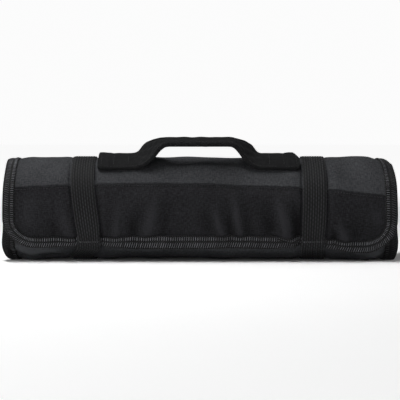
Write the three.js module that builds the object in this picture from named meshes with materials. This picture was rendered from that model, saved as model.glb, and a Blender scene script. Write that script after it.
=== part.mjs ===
import * as THREE from 'three';

// A rolled-up tool roll of bound cloth, lying closed, with a carry handle and two elastic loops.
// Lengths are in millimetres and angles in degrees. X runs along the roll, the flap hangs down on
// the -Y side and Z is up. Angles round the roll start at the middle of the front and rise over
// the top. The origin is the middle of the underside.

// The rolled shape
const ROLL_LENGTH = 420;
const ROLL_DEPTH = 104;
const ROLL_HEIGHT = 111;
const FLOOR_SAG = 4;
const FLOOR_BLEND = 3;
const TURNS = 2.75;
const FLAP_EDGE_ANGLE = -43;
const TUCK_ANGLE = 30;

// The sheet
const FLAP_THICKNESS = 3;
const PADDED_THICKNESS = 13.5;
const PADDING_STARTS_ANGLE = 160;
const PADDING_FULL_ANGLE = 215;
const PADDING_SLOPE_LENGTH = 17;
const PADDING_CORNER_RADIUS = 60;
const CORNER_RADIUS = 34;
const WRAP_CLEARANCE = 0.6;
const SEAM_ANGLE = 31.6;
const SEAM_GAP = 0.3;

// The edge binding
const TAPE_WIDTH = 11;
const TAPE_THICKNESS = 0.8;
const TAPE_FIT = 0.4;

// The elastic loops
const STRAP_WIDTH = 25;
const STRAP_THICKNESS = 1.2;
const STRAP_FIT = 0.3;
const STRAP_PROUD = 0.9;
const STRAP_LEFT_X = -125.5;
const STRAP_LEFT_SLANT = 8;
const STRAP_RIGHT_X = 122.5;
const STRAP_RIGHT_SLANT = -2;
const STRAP_JOINT_ANGLE = -33;
const STRAP_JOINT_SPREAD = 5;
const STRAP_JOINT_EXTRA = 0.8;
const PINCH_WIDTH = 7;

// The handle
const HANDLE_ANGLE = 71;
const HANDLE_FIT = 0.3;
const TAB_WIDTH = 42;
const TAB_THICKNESS = 3.5;
const TAB_END_X = 108;
const TAB_FOLD_LENGTH = 14;
const TAB_FOLD_EXTRA = 1.2;
const TAB_FOLD_STEP = 0.5;
const LEG_FOOT_X = 72;
const GRIP_END_X = 36;
const GRIP_WIDTH = 14;
const GRIP_THICKNESS = 5;
const GRIP_HEIGHT = 23;

// The seam's height across the roll: place as a share of half the length, rise as a share of
// the seam's angle.
const SEAM_BOW = [
  { across: -1, rise: 0.83 },
  { across: -0.65, rise: 0.92 },
  { across: -0.3, rise: 1 },
  { across: 0, rise: 0.985 },
  { across: 0.5, rise: 0.845 },
  { across: 0.65, rise: 0.77 },
  { across: 1, rise: 0.53 },
];

// The handle's leg from its foot to the grip: along and rise as shares of the leg's run and
// height, spread as a share of the way from the grip's width to the tab's, lie as how closely it
// follows the round of the roll.
const HANDLE_LEG = [
  { along: 0, rise: 0, spread: 1, lie: 1 },
  { along: 0.14, rise: 0.06, spread: 1, lie: 0.9 },
  { along: 0.28, rise: 0.18, spread: 0.97, lie: 0.7 },
  { along: 0.53, rise: 0.46, spread: 0.86, lie: 0.3 },
  { along: 0.7, rise: 0.68, spread: 0.55, lie: 0.1 },
  { along: 0.86, rise: 0.9, spread: 0.18, lie: 0 },
  { along: 1, rise: 1, spread: 0, lie: 0 },
];

// Steps of the faceted surfaces
const OUTER_STEP_ANGLE = 10;
const INNER_STEP_ANGLE = 18;
const CORNER_STEPS = 3;
const HANDLE_ACROSS_STEPS = 4;
const GRIP_STEPS = 4;
const ROW_SPACING_LEAST = 4;
const ARC_SAMPLES_PER_TURN = 720;

const TAPE_STAND = TAPE_THICKNESS + TAPE_FIT;
const EDGE_THICKNESS = FLAP_THICKNESS - TAPE_STAND;
const WRAP_GAP = TAPE_STAND + WRAP_CLEARANCE;
const STRAP_STAND = STRAP_THICKNESS + STRAP_FIT;
const HALF_LENGTH = ROLL_LENGTH / 2;
const HALF_DEPTH = ROLL_DEPTH / 2;
const HALF_HEIGHT = (ROLL_HEIGHT + FLOOR_SAG) / 2;
const AXIS_HEIGHT = HALF_HEIGHT - FLOOR_SAG;
const FULL_TURN = 360;
const TOP_ANGLE = 90;
const UNDER_ANGLE = 270;
const FLAT_HALF_ANGLE = TOP_ANGLE - THREE.MathUtils.radToDeg(Math.asin(AXIS_HEIGHT / HALF_HEIGHT));

const smooth = (share) => THREE.MathUtils.smoothstep(share, 0, 1);
const rad = THREE.MathUtils.degToRad;

// A value between the rows of a table, read straight across.
function readTable(rows, key, value, at) {
  const next = rows.findIndex((row) => row[key] > at);
  if (next === 0) return rows[0][value];
  if (next < 0) return rows[rows.length - 1][value];
  const share = (at - rows[next - 1][key]) / (rows[next][key] - rows[next - 1][key]);
  return THREE.MathUtils.lerp(rows[next - 1][value], rows[next][value], share);
}

// The roll's section: an oval that is flat where it rests, with a soft bend into the flat.
// Depth is measured inwards.
function sectionPoint(angle, depth, x) {
  const y = -(HALF_DEPTH - depth) * Math.cos(rad(angle));
  const round = AXIS_HEIGHT + (HALF_HEIGHT - depth) * Math.sin(rad(angle));
  const near = Math.max(FLOOR_BLEND - Math.abs(round - depth), 0);
  return new THREE.Vector3(x, y, Math.max(round, depth) + near ** 2 / (4 * FLOOR_BLEND));
}

// How far past the flap's edge an angle lies, from 0 to a full turn.
function pastFlapEdge(angle) {
  return THREE.MathUtils.euclideanModulo(angle - FLAP_EDGE_ANGLE, FULL_TURN);
}

// The spiral of the rolled sheet, by turns from the flap's edge
const angleAt = (turn) => FLAP_EDGE_ANGLE + FULL_TURN * turn;
const turnOf = (angle) => (angle - FLAP_EDGE_ANGLE) / FULL_TURN;

function thicknessAt(turn) {
  const padding = smooth(
    (angleAt(turn) - PADDING_STARTS_ANGLE) / (PADDING_FULL_ANGLE - PADDING_STARTS_ANGLE),
  );
  return THREE.MathUtils.lerp(FLAP_THICKNESS, PADDED_THICKNESS, padding);
}

function insetAt(turn) {
  if (turn >= 1) return insetAt(turn - 1) + thicknessAt(turn - 1) + WRAP_GAP;
  return (FLAP_THICKNESS + WRAP_GAP) * smooth(1 - (1 - turn) * (FULL_TURN / TUCK_ANGLE));
}

// Length along the sheet from the flap's edge, and the turn at a length.
const arcLengths = [0];
for (let i = 1; i <= TURNS * ARC_SAMPLES_PER_TURN; i++) {
  const before = (i - 1) / ARC_SAMPLES_PER_TURN;
  const here = i / ARC_SAMPLES_PER_TURN;
  const from = sectionPoint(angleAt(before), insetAt(before), 0);
  const to = sectionPoint(angleAt(here), insetAt(here), 0);
  arcLengths.push(arcLengths[i - 1] + from.distanceTo(to));
}
const SHEET_LENGTH = arcLengths[arcLengths.length - 1];

function turnAtLength(length) {
  const found = arcLengths.findIndex((sample) => sample >= length);
  const next = found < 0 ? arcLengths.length - 1 : Math.max(found, 1);
  const share = (length - arcLengths[next - 1]) / (arcLengths[next] - arcLengths[next - 1]);
  return (next - 1 + share) / ARC_SAMPLES_PER_TURN;
}

function lengthAtTurn(turn) {
  const place = turn * ARC_SAMPLES_PER_TURN;
  const before = Math.min(Math.floor(place), arcLengths.length - 2);
  return THREE.MathUtils.lerp(arcLengths[before], arcLengths[before + 1], place - before);
}

// The two elastic loops: where they lie, and how deep they draw the roll in
const STRAPS = [
  { name: 'strap_left', x: STRAP_LEFT_X, slant: STRAP_LEFT_SLANT },
  { name: 'strap_right', x: STRAP_RIGHT_X, slant: STRAP_RIGHT_SLANT },
];

function strapCentre(strap, angle) {
  const past = pastFlapEdge(angle);
  const front = 1 - smooth(past / TOP_ANGLE);
  const below = smooth(1 - (FULL_TURN - past) / TUCK_ANGLE);
  return strap.x + strap.slant * Math.max(front, below);
}

function cinchDepth(angle) {
  const fromUnder = Math.abs(pastFlapEdge(angle) - pastFlapEdge(UNDER_ANGLE));
  const free = smooth((fromUnder - FLAT_HALF_ANGLE) / FLAT_HALF_ANGLE);
  return STRAP_STAND - STRAP_PROUD * free;
}

const GROOVE_HALF = STRAP_WIDTH / 2 + STRAP_FIT;

function grooveDepth(angle, x) {
  const shares = STRAPS.map((strap) => {
    const away = Math.abs(x - strapCentre(strap, angle)) - GROOVE_HALF;
    return 1 - THREE.MathUtils.clamp(away / PINCH_WIDTH, 0, 1);
  });
  return cinchDepth(angle) * Math.max(...shares);
}

// The distance inside the sheet's edges, with its corners rounded as the padding's are.
function insideEdges(x, length) {
  const across = Math.abs(x) - (HALF_LENGTH - PADDING_CORNER_RADIUS);
  const along = Math.abs(length - SHEET_LENGTH / 2) - (SHEET_LENGTH / 2 - PADDING_CORNER_RADIUS);
  const outside = Math.hypot(Math.max(across, 0), Math.max(along, 0));
  return PADDING_CORNER_RADIUS - outside - Math.min(Math.max(across, along), 0);
}

// A point of the rolled sheet: x across, length along, depth below its outer face.
function rolledPoint(x, length, depth) {
  const turn = turnAtLength(length);
  const angle = angleAt(turn);
  return sectionPoint(angle, insetAt(turn) + grooveDepth(angle, x) + depth, x);
}

// The cloth's two faces. Under the tape it is pressed thin, so the tape lies flush outside.
function clothFaces(x, length) {
  const past = (insideEdges(x, length) - TAPE_WIDTH - TAPE_STAND) / PADDING_SLOPE_LENGTH;
  const full = smooth(THREE.MathUtils.clamp(past, 0, 1));
  const outer = TAPE_STAND * (1 - full);
  const thickness = THREE.MathUtils.lerp(EDGE_THICKNESS, thicknessAt(turnAtLength(length)), full);
  return [rolledPoint(x, length, outer), rolledPoint(x, length, outer + thickness)];
}

// Places along the sheet where its corners, and its regular steps, put a row.
const CLOTH_CORNER_RADIUS = CORNER_RADIUS - TAPE_STAND;
const TAPE_EDGE_TURN = Math.acos(1 - TAPE_WIDTH / CLOTH_CORNER_RADIUS);

const cornerRows = [0, TAPE_EDGE_TURN / 2];
for (let i = 0; i <= CORNER_STEPS; i++) {
  cornerRows.push(THREE.MathUtils.lerp(TAPE_EDGE_TURN, Math.PI / 2, i / CORNER_STEPS));
}

const cornerLength = (turn) => TAPE_STAND + CLOTH_CORNER_RADIUS * (1 - Math.cos(turn));

function regularRows(fromLength, toLength) {
  const rows = [];
  let angle = Math.ceil(angleAt(turnAtLength(fromLength)) / OUTER_STEP_ANGLE) * OUTER_STEP_ANGLE;
  while (turnOf(angle) < TURNS) {
    const length = lengthAtTurn(turnOf(angle));
    const spacing = Math.min(length - fromLength, toLength - length);
    if (spacing > ROW_SPACING_LEAST) rows.push(length);
    angle += turnOf(angle) < 1 ? OUTER_STEP_ANGLE : INNER_STEP_ANGLE;
  }
  return rows;
}

// Half the cloth's width at a place along the sheet.
function clothHalfWidth(length) {
  const fromEnd = Math.min(length, SHEET_LENGTH - length) - TAPE_STAND;
  const short = Math.max(CLOTH_CORNER_RADIUS - fromEnd, 0);
  const bow = Math.sqrt(Math.max(CLOTH_CORNER_RADIUS ** 2 - short ** 2, 0));
  return HALF_LENGTH - CORNER_RADIUS + bow;
}

// The columns of a row: the middle, both sides of each loop's groove, and the bound edges.
function columnsAt(length) {
  const angle = angleAt(turnAtLength(length));
  const half = clothHalfWidth(length);
  const edge = [half - TAPE_WIDTH - PADDING_SLOPE_LENGTH, half - TAPE_WIDTH, half];
  const offsets = [-GROOVE_HALF - PINCH_WIDTH, -GROOVE_HALF, GROOVE_HALF, GROOVE_HALF + PINCH_WIDTH];
  const grooves = STRAPS.map((strap) => offsets.map((offset) => strapCentre(strap, angle) + offset));
  return [...edge.map((x) => -x).reverse(), ...grooves[0], 0, ...grooves[1], ...edge];
}

// A closed body lofted through sections of equal point counts. An open loft is capped by joining
// each section's first half to its second half, point by point.
function loft(sections, ring) {
  const count = sections[0].length;
  const positions = sections.flat().flatMap((point) => [point.x, point.y, point.z]);
  const index = [];
  const spans = ring ? sections.length : sections.length - 1;
  for (let i = 0; i < spans; i++) {
    const here = i * count;
    const next = ((i + 1) % sections.length) * count;
    for (let j = 0; j < count; j++) {
      const k = (j + 1) % count;
      index.push(here + j, next + j, next + k, here + j, next + k, here + k);
    }
  }
  if (!ring) {
    const last = (sections.length - 1) * count;
    for (let j = 0; j < count / 2 - 1; j++) {
      const a = count - 1 - j;
      index.push(j, j + 1, a - 1, j, a - 1, a);
      index.push(last + j, last + a - 1, last + j + 1, last + j, last + a, last + a - 1);
    }
  }
  const geometry = new THREE.BufferGeometry();
  geometry.setAttribute('position', new THREE.Float32BufferAttribute(positions, 3));
  geometry.setIndex(signedVolume(positions, index) < 0 ? index.reverse() : index);
  geometry.computeVertexNormals();
  return geometry;
}

function signedVolume(positions, index) {
  const corner = (i) => new THREE.Vector3().fromArray(positions, index[i] * 3);
  let volume = 0;
  for (let i = 0; i < index.length; i += 3) {
    volume += corner(i).dot(corner(i + 1).cross(corner(i + 2))) / 6;
  }
  return volume;
}

// One row of a cloth panel, its outer face out and its inner face back.
function clothRow(columns, lengthOf) {
  const faces = columns.map((x) => clothFaces(x, lengthOf(x)));
  return [...faces.map(([outer]) => outer), ...faces.map(([, inner]) => inner).reverse()];
}

function seamLength(x) {
  const rise = readTable(SEAM_BOW, 'across', 'rise', x / HALF_LENGTH);
  return lengthAtTurn(turnOf(SEAM_ANGLE * rise));
}

function flapPanel() {
  const lengths = cornerRows.map(cornerLength);
  const start = lengths[lengths.length - 1];
  const rows = lengths.map((length) => clothRow(columnsAt(length), () => length));
  for (const share of [1 / 3, 2 / 3, 1]) {
    const seamed = (x) => THREE.MathUtils.lerp(start, seamLength(x) - SEAM_GAP / 2, share);
    rows.push(clothRow(columnsAt(seamed(0)), seamed));
  }
  return loft(rows, false);
}

const FIRST_WHOLE_STEP = Math.ceil(SEAM_ANGLE / OUTER_STEP_ANGLE) + 1;
const FIRST_WHOLE_ROW = lengthAtTurn(turnOf(FIRST_WHOLE_STEP * OUTER_STEP_ANGLE));

function bodyPanel() {
  const rows = [];
  for (const share of [0, 1 / 3, 2 / 3]) {
    const seamed = (x) => THREE.MathUtils.lerp(seamLength(x) + SEAM_GAP / 2, FIRST_WHOLE_ROW, share);
    rows.push(clothRow(columnsAt(seamed(0)), seamed));
  }
  const ends = cornerRows.map((turn) => SHEET_LENGTH - cornerLength(turn)).reverse();
  const whole = [FIRST_WHOLE_ROW, ...regularRows(FIRST_WHOLE_ROW, ends[0]), ...ends];
  whole.forEach((length) => rows.push(clothRow(columnsAt(length), () => length)));
  return loft(rows, false);
}

// The binding: a tape folded over the edge, so its section is a channel open towards the cloth.
function tapeSection(x, length, inX, inLength) {
  const depth = 2 * TAPE_STAND + EDGE_THICKNESS;
  const at = (inside, down) => rolledPoint(x + inX * inside, length + inLength * inside, down);
  const across = [TAPE_WIDTH, TAPE_WIDTH / 2, 0];
  const channel = [TAPE_WIDTH, TAPE_WIDTH / 2, TAPE_THICKNESS];
  return [
    ...across.map((inside) => at(inside, 0)),
    ...across.reverse().map((inside) => at(inside, depth)),
    ...channel.map((inside) => at(inside, depth - TAPE_THICKNESS)),
    ...channel.reverse().map((inside) => at(inside, TAPE_THICKNESS)),
  ];
}

function edgeBinding() {
  const straight = HALF_LENGTH - CORNER_RADIUS;
  const across = columnsAt(TAPE_STAND).filter((x) => Math.abs(x) < straight);
  const endAcross = columnsAt(SHEET_LENGTH - TAPE_STAND).filter((x) => Math.abs(x) < straight);
  const sideRows = regularRows(CORNER_RADIUS, SHEET_LENGTH - CORNER_RADIUS);
  const backRows = [...sideRows].reverse();
  const corner = (side, end) => (turn) => {
    const x = side * (straight + CORNER_RADIUS * Math.sin(turn));
    const fromEnd = CORNER_RADIUS * (1 - Math.cos(turn));
    const length = end > 0 ? SHEET_LENGTH - fromEnd : fromEnd;
    return tapeSection(x, length, -side * Math.sin(turn), -end * Math.cos(turn));
  };
  const cornerBack = [...cornerRows].reverse();
  const side = (sign) => (length) => tapeSection(sign * HALF_LENGTH, length, -sign, 0);
  const sections = [
    ...across.map((x) => tapeSection(x, 0, 0, 1)),
    ...cornerRows.map(corner(1, -1)),
    ...sideRows.map(side(1)),
    ...cornerBack.map(corner(1, 1)),
    ...endAcross.reverse().map((x) => tapeSection(x, SHEET_LENGTH, 0, -1)),
    ...cornerRows.map(corner(-1, 1)),
    ...backRows.map(side(-1)),
    ...cornerBack.map(corner(-1, -1)),
  ];
  return loft(sections, true);
}

// An elastic loop: one band round the roll, straight where it leaves the flap's edge, thicker
// where its ends are sewn over each other.
function strapLoop(strap) {
  const jointEnd = STRAP_JOINT_ANGLE + STRAP_JOINT_SPREAD;
  const flatEnd = UNDER_ANGLE + FLAT_HALF_ANGLE;
  const angles = [FLAP_EDGE_ANGLE, STRAP_JOINT_ANGLE - STRAP_JOINT_SPREAD, STRAP_JOINT_ANGLE, jointEnd];
  const steps = Math.floor(jointEnd / OUTER_STEP_ANGLE);
  for (let step = steps + 1; step * OUTER_STEP_ANGLE < flatEnd; step++) {
    angles.push(step * OUTER_STEP_ANGLE);
  }
  const sections = angles.map((angle) => {
    const inner = cinchDepth(angle) - STRAP_FIT;
    const extra = angle === STRAP_JOINT_ANGLE ? STRAP_JOINT_EXTRA : 0;
    const x = strapCentre(strap, angle);
    const half = STRAP_WIDTH / 2;
    const at = (side, depth) => sectionPoint(angle, depth, x + side * half);
    const outer = inner - STRAP_THICKNESS - extra;
    return [at(-1, outer), at(1, outer), at(1, inner), at(-1, inner)];
  });
  return loft(sections, true);
}

// The handle: one strip of folded cloth. Its tabs lie round the roll, its legs rise and narrow,
// and its grip is straight.
const HANDLE_TANGENT = sectionPoint(HANDLE_ANGLE + 1, 0, 0)
  .sub(sectionPoint(HANDLE_ANGLE - 1, 0, 0))
  .normalize();

function handleStation(x, height, width, thickness, lie) {
  return { x, height, width, thickness, lie };
}

function halfHandle() {
  const tabHeight = HANDLE_FIT + TAB_THICKNESS / 2;
  const foldThickness = TAB_THICKNESS + TAB_FOLD_EXTRA;
  const foldHeight = HANDLE_FIT + foldThickness / 2;
  const foldWidth = TAB_WIDTH + 2 * TAB_FOLD_EXTRA;
  const foldX = TAB_END_X - TAB_FOLD_LENGTH;
  const stations = [
    handleStation(TAB_END_X, foldHeight, foldWidth, foldThickness, 1),
    handleStation(foldX, foldHeight, foldWidth, foldThickness, 1),
    handleStation(foldX - TAB_FOLD_STEP, tabHeight, TAB_WIDTH, TAB_THICKNESS, 1),
    handleStation((foldX + LEG_FOOT_X) / 2, tabHeight, TAB_WIDTH, TAB_THICKNESS, 1),
  ];
  for (const { along, rise, spread, lie } of HANDLE_LEG) {
    stations.push(
      handleStation(
        THREE.MathUtils.lerp(LEG_FOOT_X, GRIP_END_X, along),
        THREE.MathUtils.lerp(tabHeight, GRIP_HEIGHT, rise),
        THREE.MathUtils.lerp(GRIP_WIDTH, TAB_WIDTH, spread),
        THREE.MathUtils.lerp(GRIP_THICKNESS, TAB_THICKNESS, spread),
        lie,
      ),
    );
  }
  for (let i = 1; i < GRIP_STEPS; i++) {
    const x = GRIP_END_X * (1 - i / GRIP_STEPS);
    stations.push(handleStation(x, GRIP_HEIGHT, GRIP_WIDTH, GRIP_THICKNESS, 0));
  }
  return stations;
}

function handlePoint(station, slope, across, up) {
  const x = station.x - up * Math.sin(slope);
  const height = station.height + up * Math.cos(slope);
  const radius = (HALF_DEPTH + HALF_HEIGHT) / 2;
  const turned = HANDLE_ANGLE + THREE.MathUtils.radToDeg(across / radius);
  const round = sectionPoint(turned, -height, x);
  const flat = sectionPoint(HANDLE_ANGLE, -height, x).addScaledVector(HANDLE_TANGENT, across);
  return flat.lerp(round, station.lie);
}

function handle() {
  const right = halfHandle();
  const middle = handleStation(0, GRIP_HEIGHT, GRIP_WIDTH, GRIP_THICKNESS, 0);
  const left = right.map((station) => ({ ...station, x: -station.x })).reverse();
  const stations = [...right, middle, ...left];
  const sections = stations.map((station, i) => {
    const before = stations[Math.max(i - 1, 0)];
    const after = stations[Math.min(i + 1, stations.length - 1)];
    const onTab = Math.abs(station.x) >= LEG_FOOT_X;
    const slope = onTab ? 0 : Math.atan2(before.height - after.height, before.x - after.x);
    const outer = [];
    const inner = [];
    for (let j = 0; j <= HANDLE_ACROSS_STEPS; j++) {
      const across = station.width * (j / HANDLE_ACROSS_STEPS - 0.5);
      outer.push(handlePoint(station, slope, across, station.thickness / 2));
      inner.push(handlePoint(station, slope, across, -station.thickness / 2));
    }
    return [...outer, ...inner.reverse()];
  });
  return loft(sections, false);
}

// The assembly
function piece(name, geometry, color, roughness) {
  const material = new THREE.MeshStandardMaterial({ color, roughness, metalness: 0 });
  const mesh = new THREE.Mesh(geometry, material);
  mesh.name = name;
  return mesh;
}

const toolRoll = new THREE.Group();
toolRoll.add(piece('body_panel', bodyPanel(), 0x424447, 0.9));
toolRoll.add(piece('flap_panel', flapPanel(), 0x1f1f21, 0.88));
toolRoll.add(piece('edge_binding', edgeBinding(), 0x1c1c1d, 0.85));
STRAPS.forEach((strap) => toolRoll.add(piece(strap.name, strapLoop(strap), 0x2d2f30, 0.75)));
toolRoll.add(piece('handle', handle(), 0x27282a, 0.85));

export default toolRoll;
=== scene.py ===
import bpy
import numpy as np
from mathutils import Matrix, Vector


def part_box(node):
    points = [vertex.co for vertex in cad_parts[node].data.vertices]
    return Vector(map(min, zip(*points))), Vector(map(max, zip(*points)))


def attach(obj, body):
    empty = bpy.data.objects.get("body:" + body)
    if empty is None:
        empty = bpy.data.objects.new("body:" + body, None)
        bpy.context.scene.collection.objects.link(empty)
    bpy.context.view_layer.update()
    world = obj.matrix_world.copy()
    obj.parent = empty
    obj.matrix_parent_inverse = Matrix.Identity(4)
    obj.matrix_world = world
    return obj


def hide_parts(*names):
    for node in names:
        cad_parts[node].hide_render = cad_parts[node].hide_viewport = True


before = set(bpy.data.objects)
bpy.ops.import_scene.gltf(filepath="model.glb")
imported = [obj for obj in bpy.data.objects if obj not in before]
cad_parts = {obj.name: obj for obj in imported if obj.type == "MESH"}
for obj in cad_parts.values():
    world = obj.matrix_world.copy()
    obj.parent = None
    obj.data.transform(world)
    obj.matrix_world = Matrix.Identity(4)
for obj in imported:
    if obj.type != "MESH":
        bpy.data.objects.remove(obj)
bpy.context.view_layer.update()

# Gray body cloth. The tool roll is one bound sheet, rolled up from its inner end and lying pressed
# a little flat. Its body is a coated gray polyester weave on the outside, with the padded pocket
# layers behind it from the back of the roll inwards. It starts under the seam on the front.
roll_low, roll_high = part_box("edge_binding")
HALF_LENGTH = roll_high.x
HALF_DEPTH = (roll_high.y - roll_low.y) / 2
# Its weight flattens it where it rests: the plain oval would reach this far below the floor.
FLOOR_SAG = 0.004
FLOOR_BLEND = 0.003
HALF_HEIGHT = (roll_high.z + FLOOR_SAG) / 2
AXIS_HEIGHT = HALF_HEIGHT - FLOOR_SAG
# Angles go up from the front of the roll, at 0, over its top at 90. The sheet's outer end lies at the
# flap's edge, and the next turn goes under the first one from there on.
TURNS = 2.75
FLAP_EDGE_ANGLE = -43
TUCK_ANGLE = 30
# The sheet: one cloth thick at the flap and round its edges, and padded from the back inwards.
FLAP_THICKNESS = 0.003
PADDED_THICKNESS = 0.0135
PADDING_STARTS_ANGLE = 160
PADDING_FULL_ANGLE = 215
PADDING_SLOPE = 0.017
PADDING_CORNER_RADIUS = 0.06
CORNER_RADIUS = 0.034
# The binding tape and the two loops, for which the cloth leaves room.
TAPE_WIDTH = 0.0130
TAPE_THICKNESS = 0.0008
TAPE_STAND = 0.0012
WRAP_GAP = 0.0018
EDGE_THICKNESS = FLAP_THICKNESS - TAPE_STAND
STRAP_WIDTH = 0.025
STRAP_STAND = 0.0015
STRAP_PROUD = 0.0009
STRAP_PINCH = 0.009
STRAPS = {"elastic_left": (-0.1255, 0.008), "elastic_right": (0.1225, -0.002)}
# The seam across the front bows up a little left of its middle, and falls towards both ends.
SEAM_ANGLE = 32.8
SEAM_BOW_ACROSS = (-1, -0.65, -0.3, 0, 0.5, 0.65, 1)
SEAM_BOW_RISE = (0.83, 0.92, 1, 0.985, 0.845, 0.77, 0.53)
CLOTH_STEP = 0.0026
FINE_CLOTH_STEP = 0.0009
INNER_CLOTH_STEP = 0.006


def eased(share):
    share = np.clip(share, 0, 1)
    return share * share * (3 - 2 * share)


def bell(away, reach):
    """1 where away is 0, falling off softly to about a third at the reach."""
    return np.exp(-((away / reach) ** 2))


def section(angle, depth):
    """The roll's oval section, flat where it rests: (y, z) at an angle round it and a depth inwards."""
    turned = np.radians(angle)
    y = -(HALF_DEPTH - depth) * np.cos(turned)
    z = AXIS_HEIGHT + (HALF_HEIGHT - depth) * np.sin(turned)
    near = np.maximum(FLOOR_BLEND - np.abs(z - depth), 0)
    return y, np.maximum(z, depth) + near**2 / (4 * FLOOR_BLEND)


def angle_at(turn):
    """The angle round the roll at a turn of the sheet, counted from the flap's edge."""
    return FLAP_EDGE_ANGLE + 360 * turn


def thickness_at(turn):
    """The sheet's thickness at a turn: its padding starts at the back of the roll."""
    padding = eased((angle_at(turn) - PADDING_STARTS_ANGLE) / (PADDING_FULL_ANGLE - PADDING_STARTS_ANGLE))
    return FLAP_THICKNESS + (PADDED_THICKNESS - FLAP_THICKNESS) * padding


def inset_at(turn):
    """How far inside the roll's outer face the sheet lies at a turn, under the turns over it."""
    whole = np.floor(np.maximum(turn, 0))
    tuck = (FLAP_THICKNESS + WRAP_GAP) * eased(1 - (1 - turn + whole) * 360 / TUCK_ANGLE)
    inset = np.where(turn < 0, 0, tuck)
    for wrap in (1, 2, 3):
        inset = inset + np.where(whole >= wrap, thickness_at(turn - wrap) + WRAP_GAP, 0)
    return inset


LENGTH_SAMPLES = 6000
EDGE_SAMPLE = 100
sampled_turns = np.linspace(0, TURNS, LENGTH_SAMPLES)
sampled_y, sampled_z = section(angle_at(sampled_turns), inset_at(sampled_turns))
steps = np.hypot(np.diff(sampled_y), np.diff(sampled_z))
sampled_lengths = np.concatenate([[0], np.cumsum(steps)])
SHEET_LENGTH = sampled_lengths[-1]
EDGE_LENGTH_PER_TURN = sampled_lengths[EDGE_SAMPLE] / sampled_turns[EDGE_SAMPLE]


def turn_at(length):
    """The turn at a length along the sheet, which is negative just below the flap's edge."""
    on_sheet = np.interp(length, sampled_lengths, sampled_turns)
    return np.where(length < 0, length / EDGE_LENGTH_PER_TURN, on_sheet)


def length_at_angle(angle):
    return np.interp((angle - FLAP_EDGE_ANGLE) / 360, sampled_turns, sampled_lengths)


SLANT_ENDS_ANGLE = 90


def strap_centre(strap, angle):
    """The middle of an elastic loop: straight over the back, slanting down the front."""
    middle, slant = STRAPS[strap]
    past = (angle - FLAP_EDGE_ANGLE) % 360
    front = 1 - eased(past / SLANT_ENDS_ANGLE)
    below = eased(1 - (360 - past) / TUCK_ANGLE)
    return middle + slant * np.maximum(front, below)


FLAT_HALF_ANGLE = 90 - np.degrees(np.arcsin(AXIS_HEIGHT / HALF_HEIGHT))
PINCH_FROM = 0.0004
CREASE_DEPTH = 0.0020
CREASE_AT = 0.0012
CREASE_HALF_WIDTH = 0.0011
SWELL_RISE = 0.0013
SWELL_AT = 1.2 * STRAP_PINCH
BACK_CREASE_SHARE = 0.15
FRONT_ANGLE = 43
FRONT_REACH = 70
FRONT_FADE = 30


def cinch_depth(angle):
    """How deep a loop sinks in: flush with the cloth where the roll rests, a little proud elsewhere."""
    from_under = np.abs((angle - FLAP_EDGE_ANGLE) % 360 - (270 - FLAP_EDGE_ANGLE))
    return STRAP_STAND - STRAP_PROUD * eased((from_under - FLAT_HALF_ANGLE) / FLAT_HALF_ANGLE)


def from_strap(x, angle):
    """Distance across the cloth from the edge of the nearer loop, negative under it."""
    away = [np.abs(x - strap_centre(strap, angle)) - STRAP_WIDTH / 2 for strap in STRAPS]
    return np.minimum(*away)


def groove(x, angle):
    """How deep the loops draw the cloth in: a crease at each edge, and a swell beside it."""
    away = from_strap(x, angle)
    pinched = cinch_depth(angle) * (1 - eased((away - PINCH_FROM) / STRAP_PINCH))
    off_front = np.abs((angle - FLAP_EDGE_ANGLE) % 360 - FRONT_ANGLE)
    front = BACK_CREASE_SHARE + (1 - BACK_CREASE_SHARE) * eased((FRONT_REACH - off_front) / FRONT_FADE)
    crease = CREASE_DEPTH * bell(away - CREASE_AT, CREASE_HALF_WIDTH)
    swell = SWELL_RISE * bell(away - SWELL_AT, STRAP_PINCH)
    return pinched + (crease - swell) * front


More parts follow.
